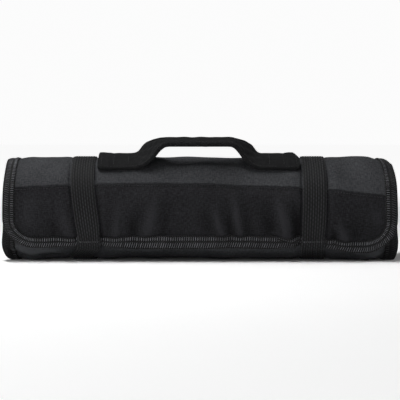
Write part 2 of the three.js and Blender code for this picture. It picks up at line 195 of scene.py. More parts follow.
# Folds of the front, from the flap's edge up: place across and along the sheet where each starts
# and ends, its half width and its height. A valley has a negative height.
FOLDS = (
    # right of the middle, where the right loop pinches the flap
    (0.083, 0.056, 0.094, 0.014, 0.0048, 0.0048),
    (0.101, 0.048, 0.105, 0.004, 0.0044, -0.0048),
    (0.077, 0.016, 0.108, 0.004, 0.0015, -0.0030),
    (0.078, 0.021, 0.105, 0.011, 0.0023, 0.0018),
    (0.071, 0.046, 0.075, 0.016, 0.0056, -0.0024),
    # right of the right loop
    (0.149, 0.030, 0.156, 0.009, 0.0040, 0.0040),
    (0.141, 0.026, 0.144, 0.004, 0.0038, -0.0032),
    (0.164, 0.032, 0.168, 0.012, 0.0056, -0.0018),
    (0.184, 0.050, 0.190, 0.026, 0.0066, 0.0014),
    # across the middle
    (0.014, 0.050, 0.024, 0.018, 0.0040, 0.0034),
    (0.036, 0.060, 0.043, 0.016, 0.0038, 0.0032),
    (0.029, 0.044, 0.034, 0.012, 0.0042, -0.0026),
    (0.049, 0.046, 0.053, 0.014, 0.0046, -0.0020),
    (0.005, 0.044, 0.010, 0.016, 0.0060, -0.0014),
    (-0.046, 0.056, -0.058, 0.014, 0.0048, 0.0036),
    (-0.034, 0.048, -0.040, 0.012, 0.0056, -0.0020),
    (-0.067, 0.044, -0.073, 0.010, 0.0050, -0.0028),
    (-0.085, 0.046, -0.091, 0.012, 0.0046, 0.0032),
    # left of the left loop, and the left end
    (-0.146, 0.048, -0.138, 0.012, 0.0054, 0.0022),
    (-0.160, 0.040, -0.154, 0.014, 0.0060, -0.0016),
    (-0.178, 0.060, -0.184, 0.026, 0.0080, 0.0018),
    # the gray top, beside the handle's tabs and at the ends
    (-0.060, 0.116, -0.030, 0.098, 0.0070, 0.0006),
    (0.058, 0.114, 0.030, 0.096, 0.0070, 0.0006),
    (0.160, 0.124, 0.176, 0.090, 0.0080, 0.0010),
    (-0.165, 0.120, -0.180, 0.092, 0.0080, 0.0009),
    (0.148, 0.100, 0.152, 0.074, 0.0060, -0.0007),
    # the crumpled corners of the wrap below the flap
    (-0.198, -0.006, -0.158, -0.008, 0.0050, 0.0054),
    (0.174, -0.012, 0.197, -0.011, 0.0046, 0.0050),
    (-0.150, -0.008, 0.170, -0.008, 0.0060, 0.0016),
    (-0.190, -0.004, -0.176, -0.016, 0.0060, 0.0030),
    (-0.176, -0.022, -0.186, -0.026, 0.0050, 0.0034),
    (-0.202, 0.000, -0.198, -0.018, 0.0042, -0.0032),
    (-0.166, -0.006, -0.150, -0.014, 0.0044, 0.0022),
    (-0.163, -0.016, -0.150, -0.018, 0.0034, -0.0014),
    (0.186, -0.002, 0.180, -0.010, 0.0052, 0.0024),
    (0.184, -0.018, 0.174, -0.022, 0.0038, 0.0030),
    (0.199, -0.004, 0.195, -0.018, 0.0040, -0.0028),
    (0.158, -0.006, 0.172, -0.012, 0.0038, 0.0018),
)
FOLD_END_SHARE = 0.3
FOLD_SKEW = 1.5
FOLD_FULLNESS = 0.8
# The ends of the roll are a little slimmer than its middle, its underside is arched up a little
# between them, and its top rises a little between the right loop and the right end.
END_TAPER = 0.0026
END_TAPER_FROM_X = 0.184
ARCH_RISE = 0.0014
ARCH_REACH_X = 0.178
ARCH_FADE = 0.03
CREST_RISE = 0.0016
CREST_RISE_X = 0.170
CREST_RISE_REACH = 0.03
# Soft waves run over all of it: up to so many round the roll, and so many radians a metre across.
WAVES = 26
WAVES_ROUND_MOST = 15
WAVES_ACROSS_MOST = 170
WAVE_RISE = 0.0017
wave_random = np.random.RandomState(7)
WAVE_ROUND = wave_random.randint(1, WAVES_ROUND_MOST, WAVES)
WAVE_ACROSS = wave_random.uniform(-WAVES_ACROSS_MOST, WAVES_ACROSS_MOST, WAVES)
WAVE_START = wave_random.uniform(0, 2 * np.pi, WAVES)
WAVE_HEIGHT = WAVE_RISE / (1.2 + WAVE_ROUND + np.abs(WAVE_ACROSS) / 14)
BELOW_EDGE_TURN = 0.88


def front_length(angle):
    """Length from the flap's edge at an angle, negative just below the edge."""
    turn = ((angle - FLAP_EDGE_ANGLE) / 360) % 1
    above = np.interp(turn, sampled_turns, sampled_lengths)
    return np.where(turn > BELOW_EDGE_TURN, (turn - 1) * EDGE_LENGTH_PER_TURN, above)


def fold_rise(x, angle):
    """The height of the folds alone. Each swells towards its lower end."""
    height = np.zeros(np.broadcast(x, angle).shape)
    up = front_length(angle)
    for x0, up0, x1, up1, half_width, rise in FOLDS:
        along_x, along_up = x1 - x0, up1 - up0
        share = ((x - x0) * along_x + (up - up0) * along_up) / (along_x**2 + along_up**2)
        held = np.clip(share, 0, 1)
        away = np.hypot(x - x0 - held * along_x, up - up0 - held * along_up)
        bulge = np.sin(np.pi * held**FOLD_SKEW) ** FOLD_FULLNESS
        swell = FOLD_END_SHARE + (1 - FOLD_END_SHARE) * bulge
        height = height + rise * swell * bell(away, half_width)
    return height


def relief(x, angle):
    """How far the cloth stands out of the plain roll: folds, soft waves, and the form of the whole."""
    height = fold_rise(x, angle)
    turned = np.radians(angle)
    for i in range(WAVES):
        phase = WAVE_ROUND[i] * turned + WAVE_ACROSS[i] * x + WAVE_START[i]
        height = height + WAVE_HEIGHT[i] * np.sin(phase)
    upwards = np.sin(turned)
    on_top = eased((upwards - 0.1) / 0.7)
    on_crest = eased((upwards - 0.75) / 0.25)
    on_underside = eased((-upwards - 0.45) / 0.4)
    taper = eased((np.abs(x) - END_TAPER_FROM_X) / (HALF_LENGTH - END_TAPER_FROM_X))
    arched = eased((ARCH_REACH_X - np.abs(x)) / ARCH_FADE)
    crest = bell(x - CREST_RISE_X, CREST_RISE_REACH)
    height = height - END_TAPER * taper * on_top - ARCH_RISE * arched * on_underside
    return height + CREST_RISE * crest * on_crest


# The flap's right end hangs a little lower than its left, and its edge stands off the wrap below
# it, except where the loops hold it down.
FLAP_RAISE = 0.0022
FLAP_LIFT = 0.0058
FLAP_LIFT_REACH = 0.026
FLAP_LIFT_CURVE = 1.7
FLAP_LIFT_MOST = 1.5
LEFT_LIFT_SHARE = 0.5
FLAP_HELD_BESIDE_LOOP = 0.001
FLAP_HELD_NEAR_LOOP = 0.034
FLAP_PULLED_DOWN = 0.0024
FLAP_PULL_REACH = 0.02
FLAP_DROP = 0.0046
FLAP_DROP_FROM_X = 0.105
FLAP_DROP_RUN = 0.05
FLAP_DROP_FADE = 0.06

# The wraps don't end quite flush. Just below the flap the next wrap sticks out a little at both ends,
# and at the left end it is drawn in near the floor. At the crest of the right end the outer wrap is
# drawn in too, so that the one inside it shows. Each has its angle and its reach, in degrees.
WRAP_STICKS_OUT = 0.0034
STICKS_OUT_ANGLE, STICKS_OUT_REACH = 312, 22
CREST_DRAWN_IN = 0.0078
CREST_ANGLE, CREST_REACH = 92, 24
FOOT_DRAWN_IN = 0.0028
FOOT_ANGLE, FOOT_REACH = 282, 15
END_SHIFT_REACH = 0.03


def end_shift(x, turn):
    """How far the cloth near the ends is shifted outwards, along the roll."""
    angle = angle_at(turn)
    below = bell(angle - STICKS_OUT_ANGLE, STICKS_OUT_REACH) * WRAP_STICKS_OUT
    crest = bell(angle - CREST_ANGLE, CREST_REACH) * CREST_DRAWN_IN * (x > 0)
    foot = bell(angle % 360 - FOOT_ANGLE, FOOT_REACH) * FOOT_DRAWN_IN * (x < 0) / np.maximum(turn, 1)
    near_end = eased((np.abs(x) - HALF_LENGTH + END_SHIFT_REACH) / END_SHIFT_REACH)
    return np.sign(x) * (below - crest - foot) * near_end


def laid_turn(x, length):
    """The turn of the roll that a place on the sheet lies at."""
    dropped = FLAP_DROP * eased((x - FLAP_DROP_FROM_X) / FLAP_DROP_RUN) - FLAP_RAISE
    for middle, slant in STRAPS.values():
        dropped = dropped + FLAP_PULLED_DOWN * bell(x - middle - slant, FLAP_PULL_REACH)
    return turn_at(length - dropped * (1 - eased(length / FLAP_DROP_FADE)))


def rolled(x, length, depth):
    """Points of the rolled sheet: x across it, length along it, depth below its outer face."""
    turn = laid_turn(x, length)
    angle = angle_at(turn)
    free = eased((from_strap(x, angle) - FLAP_HELD_BESIDE_LOOP) / FLAP_HELD_NEAR_LOOP)
    free = free * np.where(x < STRAPS["elastic_left"][0], LEFT_LIFT_SHARE, 1)
    near_edge = np.clip(1 - length / FLAP_LIFT_REACH, 0, FLAP_LIFT_MOST)
    lift = FLAP_LIFT * near_edge**FLAP_LIFT_CURVE * free
    y, z = section(angle, inset_at(turn) + groove(x, angle) + depth - relief(x, angle) - lift)
    return np.stack([x + end_shift(x, turn), y, np.maximum(z, 0)], -1)


def inside_edges(x, length):
    """How far inside the sheet's edges a place is, round its corners."""
    across = np.abs(x) - (HALF_LENGTH - PADDING_CORNER_RADIUS)
    along = np.abs(length - SHEET_LENGTH / 2) - (SHEET_LENGTH / 2 - PADDING_CORNER_RADIUS)
    outside = np.hypot(np.maximum(across, 0), np.maximum(along, 0))
    return PADDING_CORNER_RADIUS - outside - np.minimum(np.maximum(across, along), 0)


CLOTH_CORNER_RADIUS = CORNER_RADIUS - TAPE_STAND


def half_width(length):
    """Half the cloth's width at a length along it: less at its round corners."""
    from_end = np.minimum(length, SHEET_LENGTH - length) - TAPE_STAND
    short = np.maximum(CLOTH_CORNER_RADIUS - from_end, 0)
    bow = np.sqrt(np.maximum(CLOTH_CORNER_RADIUS**2 - short**2, 0))
    return HALF_LENGTH - CORNER_RADIUS + bow


def corner_lengths(count):
    """Rows of points round a corner, closer together where it is steep."""
    return TAPE_STAND + CLOTH_CORNER_RADIUS * (1 - np.cos(np.linspace(0, np.pi / 2, count)))


def seam_length(x):
    """How far along the sheet the seam lies at a place across it."""
    rise = np.interp(x / HALF_LENGTH, SEAM_BOW_ACROSS, SEAM_BOW_RISE)
    return length_at_angle(SEAM_ANGLE * rise)


def closed_mesh(name, points, faces, flat_places, ends=(), painted_light=None):
    """A mesh object whose faces point outwards. flat_places holds each point's place on the flat cloth,
    and the last argument holds its painted light and shade, from -1 for painted shade to 1 for a painted
    highlight."""
    points = np.asarray(points, float)
    faces = np.asarray(faces)
    a, b, c = points[faces[:, 0]], points[faces[:, 1]], points[faces[:, 2]]
    d = points[faces[:, -1]]
    volume = (a * np.cross(b, c)).sum() + (a * np.cross(c, d)).sum()
    turn = -1 if volume < 0 else 1
    faces = faces[:, ::turn].tolist() + [list(end)[::turn] for end in ends]
    mesh = bpy.data.meshes.new(name)
    mesh.from_pydata(points.tolist(), [], faces)
    layer = mesh.uv_layers.new(name="flat")
    corners = np.zeros(len(mesh.loops), int)
    mesh.loops.foreach_get("vertex_index", corners)
    layer.data.foreach_set("uv", np.asarray(flat_places, float)[corners].ravel())
    mesh.polygons.foreach_set("use_smooth", [True] * len(mesh.polygons))
    if painted_light is not None:
        mesh.attributes.new("painted_light", "FLOAT", "POINT").data.foreach_set("value", painted_light.ravel())
    piece = bpy.data.objects.new(name, mesh)
    bpy.context.scene.collection.objects.link(piece)
    return piece


# Fold ridges this high get the full painted highlight, and valleys this deep the full painted shade.
PAINTED_FOLD_LIGHT_RISE = 0.0036


def cloth_wall(name, x, lengths, outer_depth, inner_depth):
    """A wall of cloth on the roll: a grid of outer points, a grid of inner points and the edge."""
    outer = rolled(x, lengths, outer_depth)
    inner = rolled(x, lengths, inner_depth)
    rows, columns = x.shape
    index = np.arange(rows * columns).reshape(rows, columns)
    back = index + rows * columns
    faces = [
        np.stack([index[:-1, :-1], index[1:, :-1], index[1:, 1:], index[:-1, 1:]], -1).reshape(-1, 4),
        np.stack([back[:-1, :-1], back[:-1, 1:], back[1:, 1:], back[1:, :-1]], -1).reshape(-1, 4),
    ]
    rim = np.concatenate([index[0, :-1], index[:-1, -1], index[-1, :0:-1], index[:0:-1, 0]])
    onward = np.roll(rim, -1)
    faces.append(np.stack([rim, onward, onward + rows * columns, rim + rows * columns], -1))
    flat = np.stack([x, lengths], -1).reshape(-1, 2)
    points = np.concatenate([outer.reshape(-1, 3), inner.reshape(-1, 3)])
    # Painted highlights on the folds' ridges and painted shade in their valleys, on the outer face only.
    painted_light = np.clip(fold_rise(x, angle_at(laid_turn(x, lengths))) / PAINTED_FOLD_LIGHT_RISE, -1, 1)
    painted_light = np.concatenate([painted_light, 0 * painted_light])
    return closed_mesh(name, points, np.concatenate(faces), np.concatenate([flat, flat]), (), painted_light)


def cloth_depths(x, lengths):
    """The depths of the cloth's outer and inner face: thin under the binding, and full inside it."""
    past = (inside_edges(x, lengths) - TAPE_WIDTH - TAPE_STAND) / PADDING_SLOPE
    full = eased(past)
    outer = TAPE_STAND * (1 - full)
    thickness = EDGE_THICKNESS + (thickness_at(turn_at(lengths)) - EDGE_THICKNESS) * full
    return outer, outer + thickness


FINE_COLUMNS_FROM = 0.009
FINE_COLUMNS_TO = 0.0175


def beside_loop(x):
    """Whether a place across the cloth is at an edge of a loop, where the cloth is creased."""
    for middle, slant in STRAPS.values():
        left, right = sorted((middle, middle + slant))
        near = left - FINE_COLUMNS_TO < x < right + FINE_COLUMNS_TO
        under = right - FINE_COLUMNS_FROM < x < left + FINE_COLUMNS_FROM
        if near and not under:
            return True
    return False


def column_shares():
    """Columns of the cloth as shares of its half width, closer together beside the loops."""
    places = [-HALF_LENGTH]
    while places[-1] < HALF_LENGTH:
        step = FINE_CLOTH_STEP if beside_loop(places[-1]) else CLOTH_STEP
        places.append(places[-1] + step)
    places = np.array(places)
    return 2 * (places - places[0]) / (places[-1] - places[0]) - 1


# Rows of points run from the seam to the sheet's inner end, and lie closer together where they show.
SEAM_RISE = 0.00025
SEAM_RISE_REACH = 0.0022
SEAM_SETTLE = 0.05
SEAM_ROWS = np.array([0, 0.0008, 0.0018, 0.0032])
SEAM_ROWS_REACH = 0.005
SHOWN_TURNS = 1.05
CORNER_ROWS_APART = 0.002
CORNER_ROWS = 12
seam_middle = float(seam_length(0.0))
first_turn_length = float(np.interp(SHOWN_TURNS, sampled_turns, sampled_lengths))
rows = np.concatenate([
    seam_middle + SEAM_ROWS,
    np.arange(seam_middle + SEAM_ROWS_REACH, first_turn_length, CLOTH_STEP),
    np.arange(first_turn_length, SHEET_LENGTH - CORNER_RADIUS - CORNER_ROWS_APART, INNER_CLOTH_STEP),
    (SHEET_LENGTH - corner_lengths(CORNER_ROWS))[::-1],
])
shares = column_shares()
x = shares[None, :] * half_width(rows)[:, None]
settle = 1 - eased((rows - seam_middle) / SEAM_SETTLE)
lengths = rows[:, None] + (seam_length(x) - seam_middle) * settle[:, None]
outer_depth, inner_depth = cloth_depths(x, lengths)
outer_depth = outer_depth - SEAM_RISE * bell(lengths - seam_length(x), SEAM_RISE_REACH)
body_cloth = cloth_wall("body_cloth", x, lengths, outer_depth, inner_depth)


def add(tree, kind, settings=None, **inputs):
    """A shader node. Each input is a value or another node's output, by its name or as i and a number."""
    node = tree.nodes.new("ShaderNode" + kind)
    for name, value in (settings or {}).items():
        setattr(node, name, value)
    for name, value in inputs.items():
        numbered = name[0] == "i" and name[1:].isdigit()
        socket = node.inputs[int(name[1:]) if numbered else name]
        if isinstance(value, bpy.types.NodeSocket):
            tree.links.new(value, socket)
        else:
            socket.default_value = value
    return node


def maths(tree, operation, first, second=0.0, third=0.0, held=False):
    """One step of arithmetic on values or outputs, its result held between 0 and 1 if asked."""
    settings = {"operation": operation, "use_clamp": held}
    return add(tree, "Math", settings, i0=first, i1=second, i2=third).outputs[0]


def wave(tree, place, pitch, kind="SINE"):
    """Regular waves, from -1 to 1, one to each pitch."""
    return maths(tree, kind, maths(tree, "MULTIPLY", place, 2 * np.pi / pitch))


def noise(tree, place, scale, detail):
    """Uneven shade, from 0 to 1, over the flat cloth. A pair of scales draws it out along one thread."""
    if isinstance(scale, tuple):
        place = add(tree, "Mapping", None, Vector=place, Scale=(*scale, 1)).outputs[0]
        scale = 1.0
    uneven = add(tree, "TexNoise", {"noise_dimensions": "2D"}, Vector=place, Scale=scale, Detail=detail)
    return uneven.outputs[0]


def painted_light_of_mesh(tree):
    """The painted light and shade that closed_mesh keeps on the mesh, from -1 to 1."""
    return add(tree, "Attribute", {"attribute_type": "GEOMETRY", "attribute_name": "painted_light"}).outputs["Fac"]


def new_finish(name, roughness, sheen, sheen_roughness=0.45):
    """A dull material: the material, its nodes and its shader."""
    material = bpy.data.materials.new(name)
    material.use_nodes = True
    shader = material.node_tree.nodes["Principled BSDF"]
    shader.inputs["Roughness"].default_value = roughness
    shader.inputs["Specular IOR Level"].default_value = 0.11
    shader.inputs["Sheen Weight"].default_value = sheen
    shader.inputs["Sheen Roughness"].default_value = sheen_roughness
    return material, material.node_tree, shader


def paint(tree, shader, share, dark, light):
    """The base colour, from dark to light by a share."""
    mix = add(tree, "Mix", {"data_type": "RGBA"}, Factor=share)
    ends = [socket for socket in mix.inputs if socket.type == "RGBA"]
    ends[0].default_value = (*dark, 1)
    ends[1].default_value = (*light, 1)
    mixed = [socket for socket in mix.outputs if socket.type == "RGBA"][0]
    tree.links.new(mixed, shader.inputs["Base Color"])


def emboss(tree, shader, height, strength, distance):
    """Bumps of a height, from 0 to 1 of a distance."""
    bump = add(tree, "Bump", None, Strength=strength, Distance=distance, Height=height)
    tree.links.new(bump.outputs[0], shader.inputs["Normal"])


def woven(tree, pitch_across, pitch_along):
    """A plain weave on the flat cloth: the threads' height, from 0 to 1, and the place on the cloth."""
    place = add(tree, "UVMap", {"uv_map": "flat"}).outputs[0]
    split = add(tree, "SeparateXYZ", i0=place)
    across = wave(tree, split.outputs[0], pitch_across)
    along = wave(tree, split.outputs[1], pitch_along)
    return maths(tree, "MULTIPLY_ADD", maths(tree, "MULTIPLY", across, along), 0.5, 0.5), place


WEAVE_PITCH = 0.0013
WEAVE_SHARE = 0.28
YARN_SCALES = ((700, 260), (240, 820))
YARN_SHARE = 1.3
SLUB_SCALES = ((880, 230), (240, 940))
SLUB_SHARE = 0.8
DRIFT_SCALE = 22.0
DRIFT_SHARE = 0.45
PAINTED_FOLD_LIGHT_SHARE = 0.62
DARK_LEVEL = 1.02


def cloth_finish(name, dark, light, roughness):
    """Coated polyester weave: crossing threads, uneven yarn, slubs, slow changes of shade at random, and
    painted light: paler on fold ridges and darker in fold valleys.
    """
    material, tree, shader = new_finish(name, roughness, 0.0)
    threads, place = woven(tree, WEAVE_PITCH, WEAVE_PITCH)
    across, along = YARN_SCALES
    yarn = maths(tree, "MULTIPLY", noise(tree, place, across, 3.0), noise(tree, place, along, 2.0))
    flecks = maths(tree, "MULTIPLY", yarn, YARN_SHARE)
    share = maths(tree, "MULTIPLY_ADD", threads, WEAVE_SHARE, flecks)
    share = maths(tree, "MULTIPLY_ADD", noise(tree, place, DRIFT_SCALE, 4.0), DRIFT_SHARE, share)
    for scale in SLUB_SCALES:
        share = maths(tree, "MULTIPLY_ADD", noise(tree, place, scale, 1.5), SLUB_SHARE, share)
    # Painted highlight on fold ridges and painted shade in fold valleys.
    share = maths(tree, "MULTIPLY_ADD", painted_light_of_mesh(tree), PAINTED_FOLD_LIGHT_SHARE, share)
    paint(tree, shader, maths(tree, "SUBTRACT", share, DARK_LEVEL, held=True), dark, light)
    emboss(tree, shader, maths(tree, "MULTIPLY_ADD", flecks, 0.9, threads), 0.55, 0.00022)
    return material


def dress(piece, material, slot, *nodes):
    """Give a piece its material, put it under the part's root, and hide the CAD nodes that it stands for.
    """
    piece.data.materials.append(material)
    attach(piece, "root")
    if nodes:
        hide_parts(*nodes)


gray_cloth = cloth_finish("gray_cloth", (0.0165, 0.0170, 0.0184), (0.050, 0.0515, 0.0555), 0.9)
dress(body_cloth, gray_cloth, "body_cloth", "body_panel")

# Black flap cloth. The same weave in black, with its upper edge turned in and sewn to the gray cloth,
# so that the seam lies in a shallow groove. It hangs down the front and ends in round corners under
# the binding.
HEM_RISE = 0.0005
HEM_WIDTH = 0.0042
HEM_SLOPE = 0.0012
HEM_STITCH_AT = 0.0032
HEM_STITCH_DIP = 0.00035
HEM_STITCH_DIP_REACH = 0.0007
SEAM_GROOVE = 0.0009
SEAM_GROOVE_REACH = 0.0007
SEAM_APART = 0.0002
FOLLOW_SEAM_FROM = 0.6 * CORNER_RADIUS
FLAP_CORNER_ROWS = 16
FLAP_ROWS = 16
FLAP_ROWS_TO = 0.9
HEM_ROWS = 13
HEM_ROWS_FROM = 0.912

flap_corner = corner_lengths(FLAP_CORNER_ROWS)
flap_height = seam_middle - TAPE_STAND
flap_rows = np.concatenate([
    (flap_corner - TAPE_STAND) / flap_height,
    np.linspace((flap_corner[-1] + CORNER_ROWS_APART - TAPE_STAND) / flap_height, FLAP_ROWS_TO, FLAP_ROWS),
    np.linspace(HEM_ROWS_FROM, 1, HEM_ROWS),
])
flap_lengths = TAPE_STAND + flap_rows * flap_height
x = shares[None, :] * half_width(flap_lengths)[:, None]
follow = eased((flap_lengths - FOLLOW_SEAM_FROM) / (seam_middle - FOLLOW_SEAM_FROM))
lengths = flap_lengths[:, None] + (seam_length(x) - seam_middle) * follow[:, None] - SEAM_APART
outer_depth, inner_depth = cloth_depths(x, lengths)
below_seam = seam_length(x) - lengths
hem = eased((HEM_WIDTH - below_seam) / HEM_SLOPE) * HEM_RISE
stitch_dip = HEM_STITCH_DIP * bell(below_seam - HEM_STITCH_AT, HEM_STITCH_DIP_REACH)
seam_groove = SEAM_GROOVE * bell(below_seam, SEAM_GROOVE_REACH)
outer_depth = outer_depth - hem + stitch_dip + seam_groove
flap_cloth = cloth_wall("flap_cloth", x, lengths, outer_depth, inner_depth)
black_cloth = cloth_finish("black_cloth", (0.0048, 0.0048, 0.0054), (0.0215, 0.0215, 0.0240), 0.88)
dress(flap_cloth, black_cloth, "flap_cloth", "flap_panel")

# A row of dark stitches runs along the hem. A stitch is a short thread with six sides, whose ends dip
# into the cloth. Each lies a step further on in its material, so that no two have the same shade.
THREAD_SIDES = 6
THREAD_SHARES = np.array([0, 0.12, 0.38, 0.62, 0.88, 1])
THREAD_HEIGHTS = np.array([-1.2, 0.6, 1, 1, 0.6, -1.2])
THREAD_TAPER_FROM = 0.28
THREAD_APART = 0.0137
THREAD_RINGS_APART = 0.0005
NORMAL_REACH = 0.001


def thread_mesh(name, centres, sides, normals, radius, painted_light):
    """Short lengths of thread: rings round rows of centres, closed at both ends."""
    count, rings, _ = centres.shape
    turned = np.linspace(0, 2 * np.pi, THREAD_SIDES, endpoint=False)
    round_side = np.cos(turned)[None, None, :, None] * sides[:, :, None, :]
    round_up = np.sin(turned)[None, None, :, None] * normals[:, :, None, :]
    taper = np.sin(np.linspace(THREAD_TAPER_FROM, np.pi - THREAD_TAPER_FROM, rings)) ** 0.5
    points = centres[:, :, None, :] + radius * taper[None, :, None, None] * (round_side + round_up)
    index = np.arange(count * rings * THREAD_SIDES).reshape(count, rings, THREAD_SIDES)
    onward = np.roll(index, -1, axis=2)
    faces = [np.stack([index[:, :-1], index[:, 1:], onward[:, 1:], onward[:, :-1]], -1).reshape(-1, 4)]
    for ring, turn in ((0, 1), (rings - 1, -1)):
        for corners in ([0, 1, 2, 3], [0, 3, 4, 5]):
            faces.append(index[:, ring][:, corners][:, ::turn])
    flat = np.zeros((index.size, 2))
    flat[:, 0] = np.repeat(np.arange(count), rings * THREAD_SIDES) * THREAD_APART
    flat[:, 1] = np.tile(np.repeat(np.arange(rings), THREAD_SIDES), count) * THREAD_RINGS_APART
    painted_light = np.repeat(painted_light, rings * THREAD_SIDES)
    return closed_mesh(name, points.reshape(-1, 3), np.concatenate(faces), flat, (), painted_light)


def sewn_threads(name, starts, ends, place, radius, lift, painted_light=None):
    """Stitches from starts to ends, in the cloth's own coordinates. place gives a point at a height."""
    along = starts[:, None, :] + THREAD_SHARES[None, :, None] * (ends - starts)[:, None, :]
    heights = np.broadcast_to(THREAD_HEIGHTS * lift, along.shape[:2])
    centres = place(along[..., 0], along[..., 1], heights)
    normals = place(along[..., 0], along[..., 1], heights + NORMAL_REACH) - centres
    normals /= np.linalg.norm(normals, axis=-1, keepdims=True)
    run = centres[:, -1:] - centres[:, :1]
    sides = np.cross(np.broadcast_to(run, normals.shape), normals)
    sides /= np.linalg.norm(sides, axis=-1, keepdims=True)
    if painted_light is None:
        painted_light = np.zeros(len(starts))
    return thread_mesh(name, centres, sides, normals, radius, painted_light)


THREAD_NOISES = ((300.0, 2.0), (70.0, 1.0), (2.2, 1.0))
THREAD_PALENESS = 5.2


def thread_finish(name, dark, light, roughness=0.55):
    """Spun polyester thread. Each stitch has its own shade, whole stretches are faded at random, and the
    mesh's painted light and shade is laid over that.
    """
    material, tree, shader = new_finish(name, roughness, 0.04)
    place = add(tree, "UVMap", {"uv_map": "flat"}).outputs[0]
    share = THREAD_PALENESS
    for scale, detail in THREAD_NOISES:
        share = maths(tree, "MULTIPLY", noise(tree, place, scale, detail), share)
    # The painted light and shade that the mesh carries.
    painted_light_scale = maths(tree, "ADD", painted_light_of_mesh(tree), 1.0)
    paint(tree, shader, maths(tree, "MULTIPLY", share, painted_light_scale, held=True), dark, light)
    return material


HEM_STITCH_PITCH = 0.0030
HEM_STITCH_LENGTH = 0.0022
HEM_STITCH_FROM_END = 0.0135
HEM_STITCH_SUNK = 0.0003
HEM_THREAD_RADIUS = 0.00028
HEM_THREAD_LIFT = 0.00022


def on_hem(x, length, up):
    """A place on the flap's hem, with the stitches sunk in a little."""
    return rolled(x, length, HEM_STITCH_SUNK - HEM_RISE - up)


count = int(2 * (HALF_LENGTH - HEM_STITCH_FROM_END) / HEM_STITCH_PITCH)
start_x = -HALF_LENGTH + HEM_STITCH_FROM_END + HEM_STITCH_PITCH * np.arange(count)
end_x = start_x + HEM_STITCH_LENGTH
starts = np.stack([start_x, seam_length(start_x) - HEM_STITCH_AT], -1)
ends = np.stack([end_x, seam_length(end_x) - HEM_STITCH_AT], -1)
hem_stitches = sewn_threads("hem_stitches", starts, ends, on_hem, HEM_THREAD_RADIUS, HEM_THREAD_LIFT)
dark_thread = thread_finish("dark_thread", (0.007, 0.007, 0.0075), (0.024, 0.024, 0.0255))
dress(hem_stitches, dark_thread, "flap_cloth")

# Edge binding. A ribbed black tape folded over the sheet's edge all round, sewn through with two rows
# of pale stitches: short ones near its inner edge, and long, slanting ones on its outer half.
TAPE_STEP = 0.0012
TAPE_ROUND = 0.0014
TAPE_LEAF_FROM = 0.0024
TAPE_INNER_EDGE_SUNK = 0.0001
TAPE_CROWN = 0.00035
TAPE_FLARE = 0.16
TAPE_FLARE_X = 0.015
TAPE_FLARE_REACH = 0.1
TAPE_WANDER = 0.00035
TAPE_FINE_WANDER = 0.0002
ON_LOWER_EDGE = 0.001


def outline_point(distance):
    """A place on the sheet's outline and the direction into the sheet, by distance round it from the
    left end of the flap's edge, and the distances where its sides and corners begin."""
    straight = HALF_LENGTH - CORNER_RADIUS
    side = SHEET_LENGTH - 2 * CORNER_RADIUS
    arc = CORNER_RADIUS * np.pi / 2
    runs = [2 * straight, arc, side, arc, 2 * straight, arc, side, arc]
    marks = np.concatenate([[0], np.cumsum(runs)])
    d = np.mod(distance, marks[-1])
    x, length = np.zeros_like(d), np.zeros_like(d)
    in_x, in_length = np.zeros_like(d), np.zeros_like(d)
    corners = {1: (1, -1, 0), 3: (1, 1, 1), 5: (-1, 1, 0), 7: (-1, -1, 1)}
    for run in range(8):
        here = (d >= marks[run]) & (d <= marks[run + 1])
        gone = d[here] - marks[run]
        if run in corners:
            sign_x, sign_length, late = corners[run]
            turned = gone / CORNER_RADIUS
            turned = np.pi / 2 - turned if late else turned
            out_x, out_length = sign_x * np.sin(turned), sign_length * np.cos(turned)
            middle = CORNER_RADIUS if sign_length < 0 else SHEET_LENGTH - CORNER_RADIUS
            x[here] = sign_x * straight + CORNER_RADIUS * out_x
            length[here] = middle + CORNER_RADIUS * out_length
            in_x[here], in_length[here] = -out_x, -out_length
        elif run == 0:
            x[here], length[here], in_length[here] = gone - straight, 0, 1
        elif run == 2:
            x[here], length[here], in_x[here] = HALF_LENGTH, CORNER_RADIUS + gone, -1
        elif run == 4:
            x[here], length[here], in_length[here] = straight - gone, SHEET_LENGTH, -1
        else:
            x[here], length[here], in_x[here] = -HALF_LENGTH, SHEET_LENGTH - CORNER_RADIUS - gone, 1
    return x, length, in_x, in_length, marks


OUTLINE_MARKS = outline_point(np.zeros(1))[4]
OUTLINE_LENGTH = OUTLINE_MARKS[-1]
TAPE_DEPTH = 2 * TAPE_STAND + EDGE_THICKNESS


def tape_place(distance, inside, depth):
    """A point of the tape, which is a little wider at the middle of the flap's lower edge."""
    x, length, in_x, in_length, _ = outline_point(distance)
    wide = 1 + TAPE_FLARE * bell(x - TAPE_FLARE_X, TAPE_FLARE_REACH) * (length < ON_LOWER_EDGE)
    return rolled(x + in_x * inside * wide, length + in_length * inside * wide, depth)


# Painted shade on the binding and its stitches: darker along the ends, darkest under the flap's edge.
LEFT_END_PAINTED_SHADE = 0.28
RIGHT_END_PAINTED_SHADE = 0.42
END_PAINTED_SHADE_FROM = 0.012
END_PAINTED_SHADE_FADE = 0.03
UNDER_FLAP_PAINTED_SHADE = 0.45
UNDER_FLAP_TURNS = (0.80, 1.07)
UNDER_FLAP_FADE = 0.05


def edge_painted_shade(distance):
    """Painted shade on the binding: none along the flap's lower edge, some along the ends, and most where
    the next wrap lies under the flap's edge, in the flap's shadow."""
    x, length, _, _, _ = outline_point(distance)
    turn = turn_at(length)
    on_end = eased((length - END_PAINTED_SHADE_FROM) / END_PAINTED_SHADE_FADE)
    first, last = UNDER_FLAP_TURNS
    under_flap = eased((turn - first) / UNDER_FLAP_FADE) * eased((last - turn) / UNDER_FLAP_FADE)
    return -np.where(x < 0, LEFT_END_PAINTED_SHADE, RIGHT_END_PAINTED_SHADE) * on_end - UNDER_FLAP_PAINTED_SHADE * under_flap


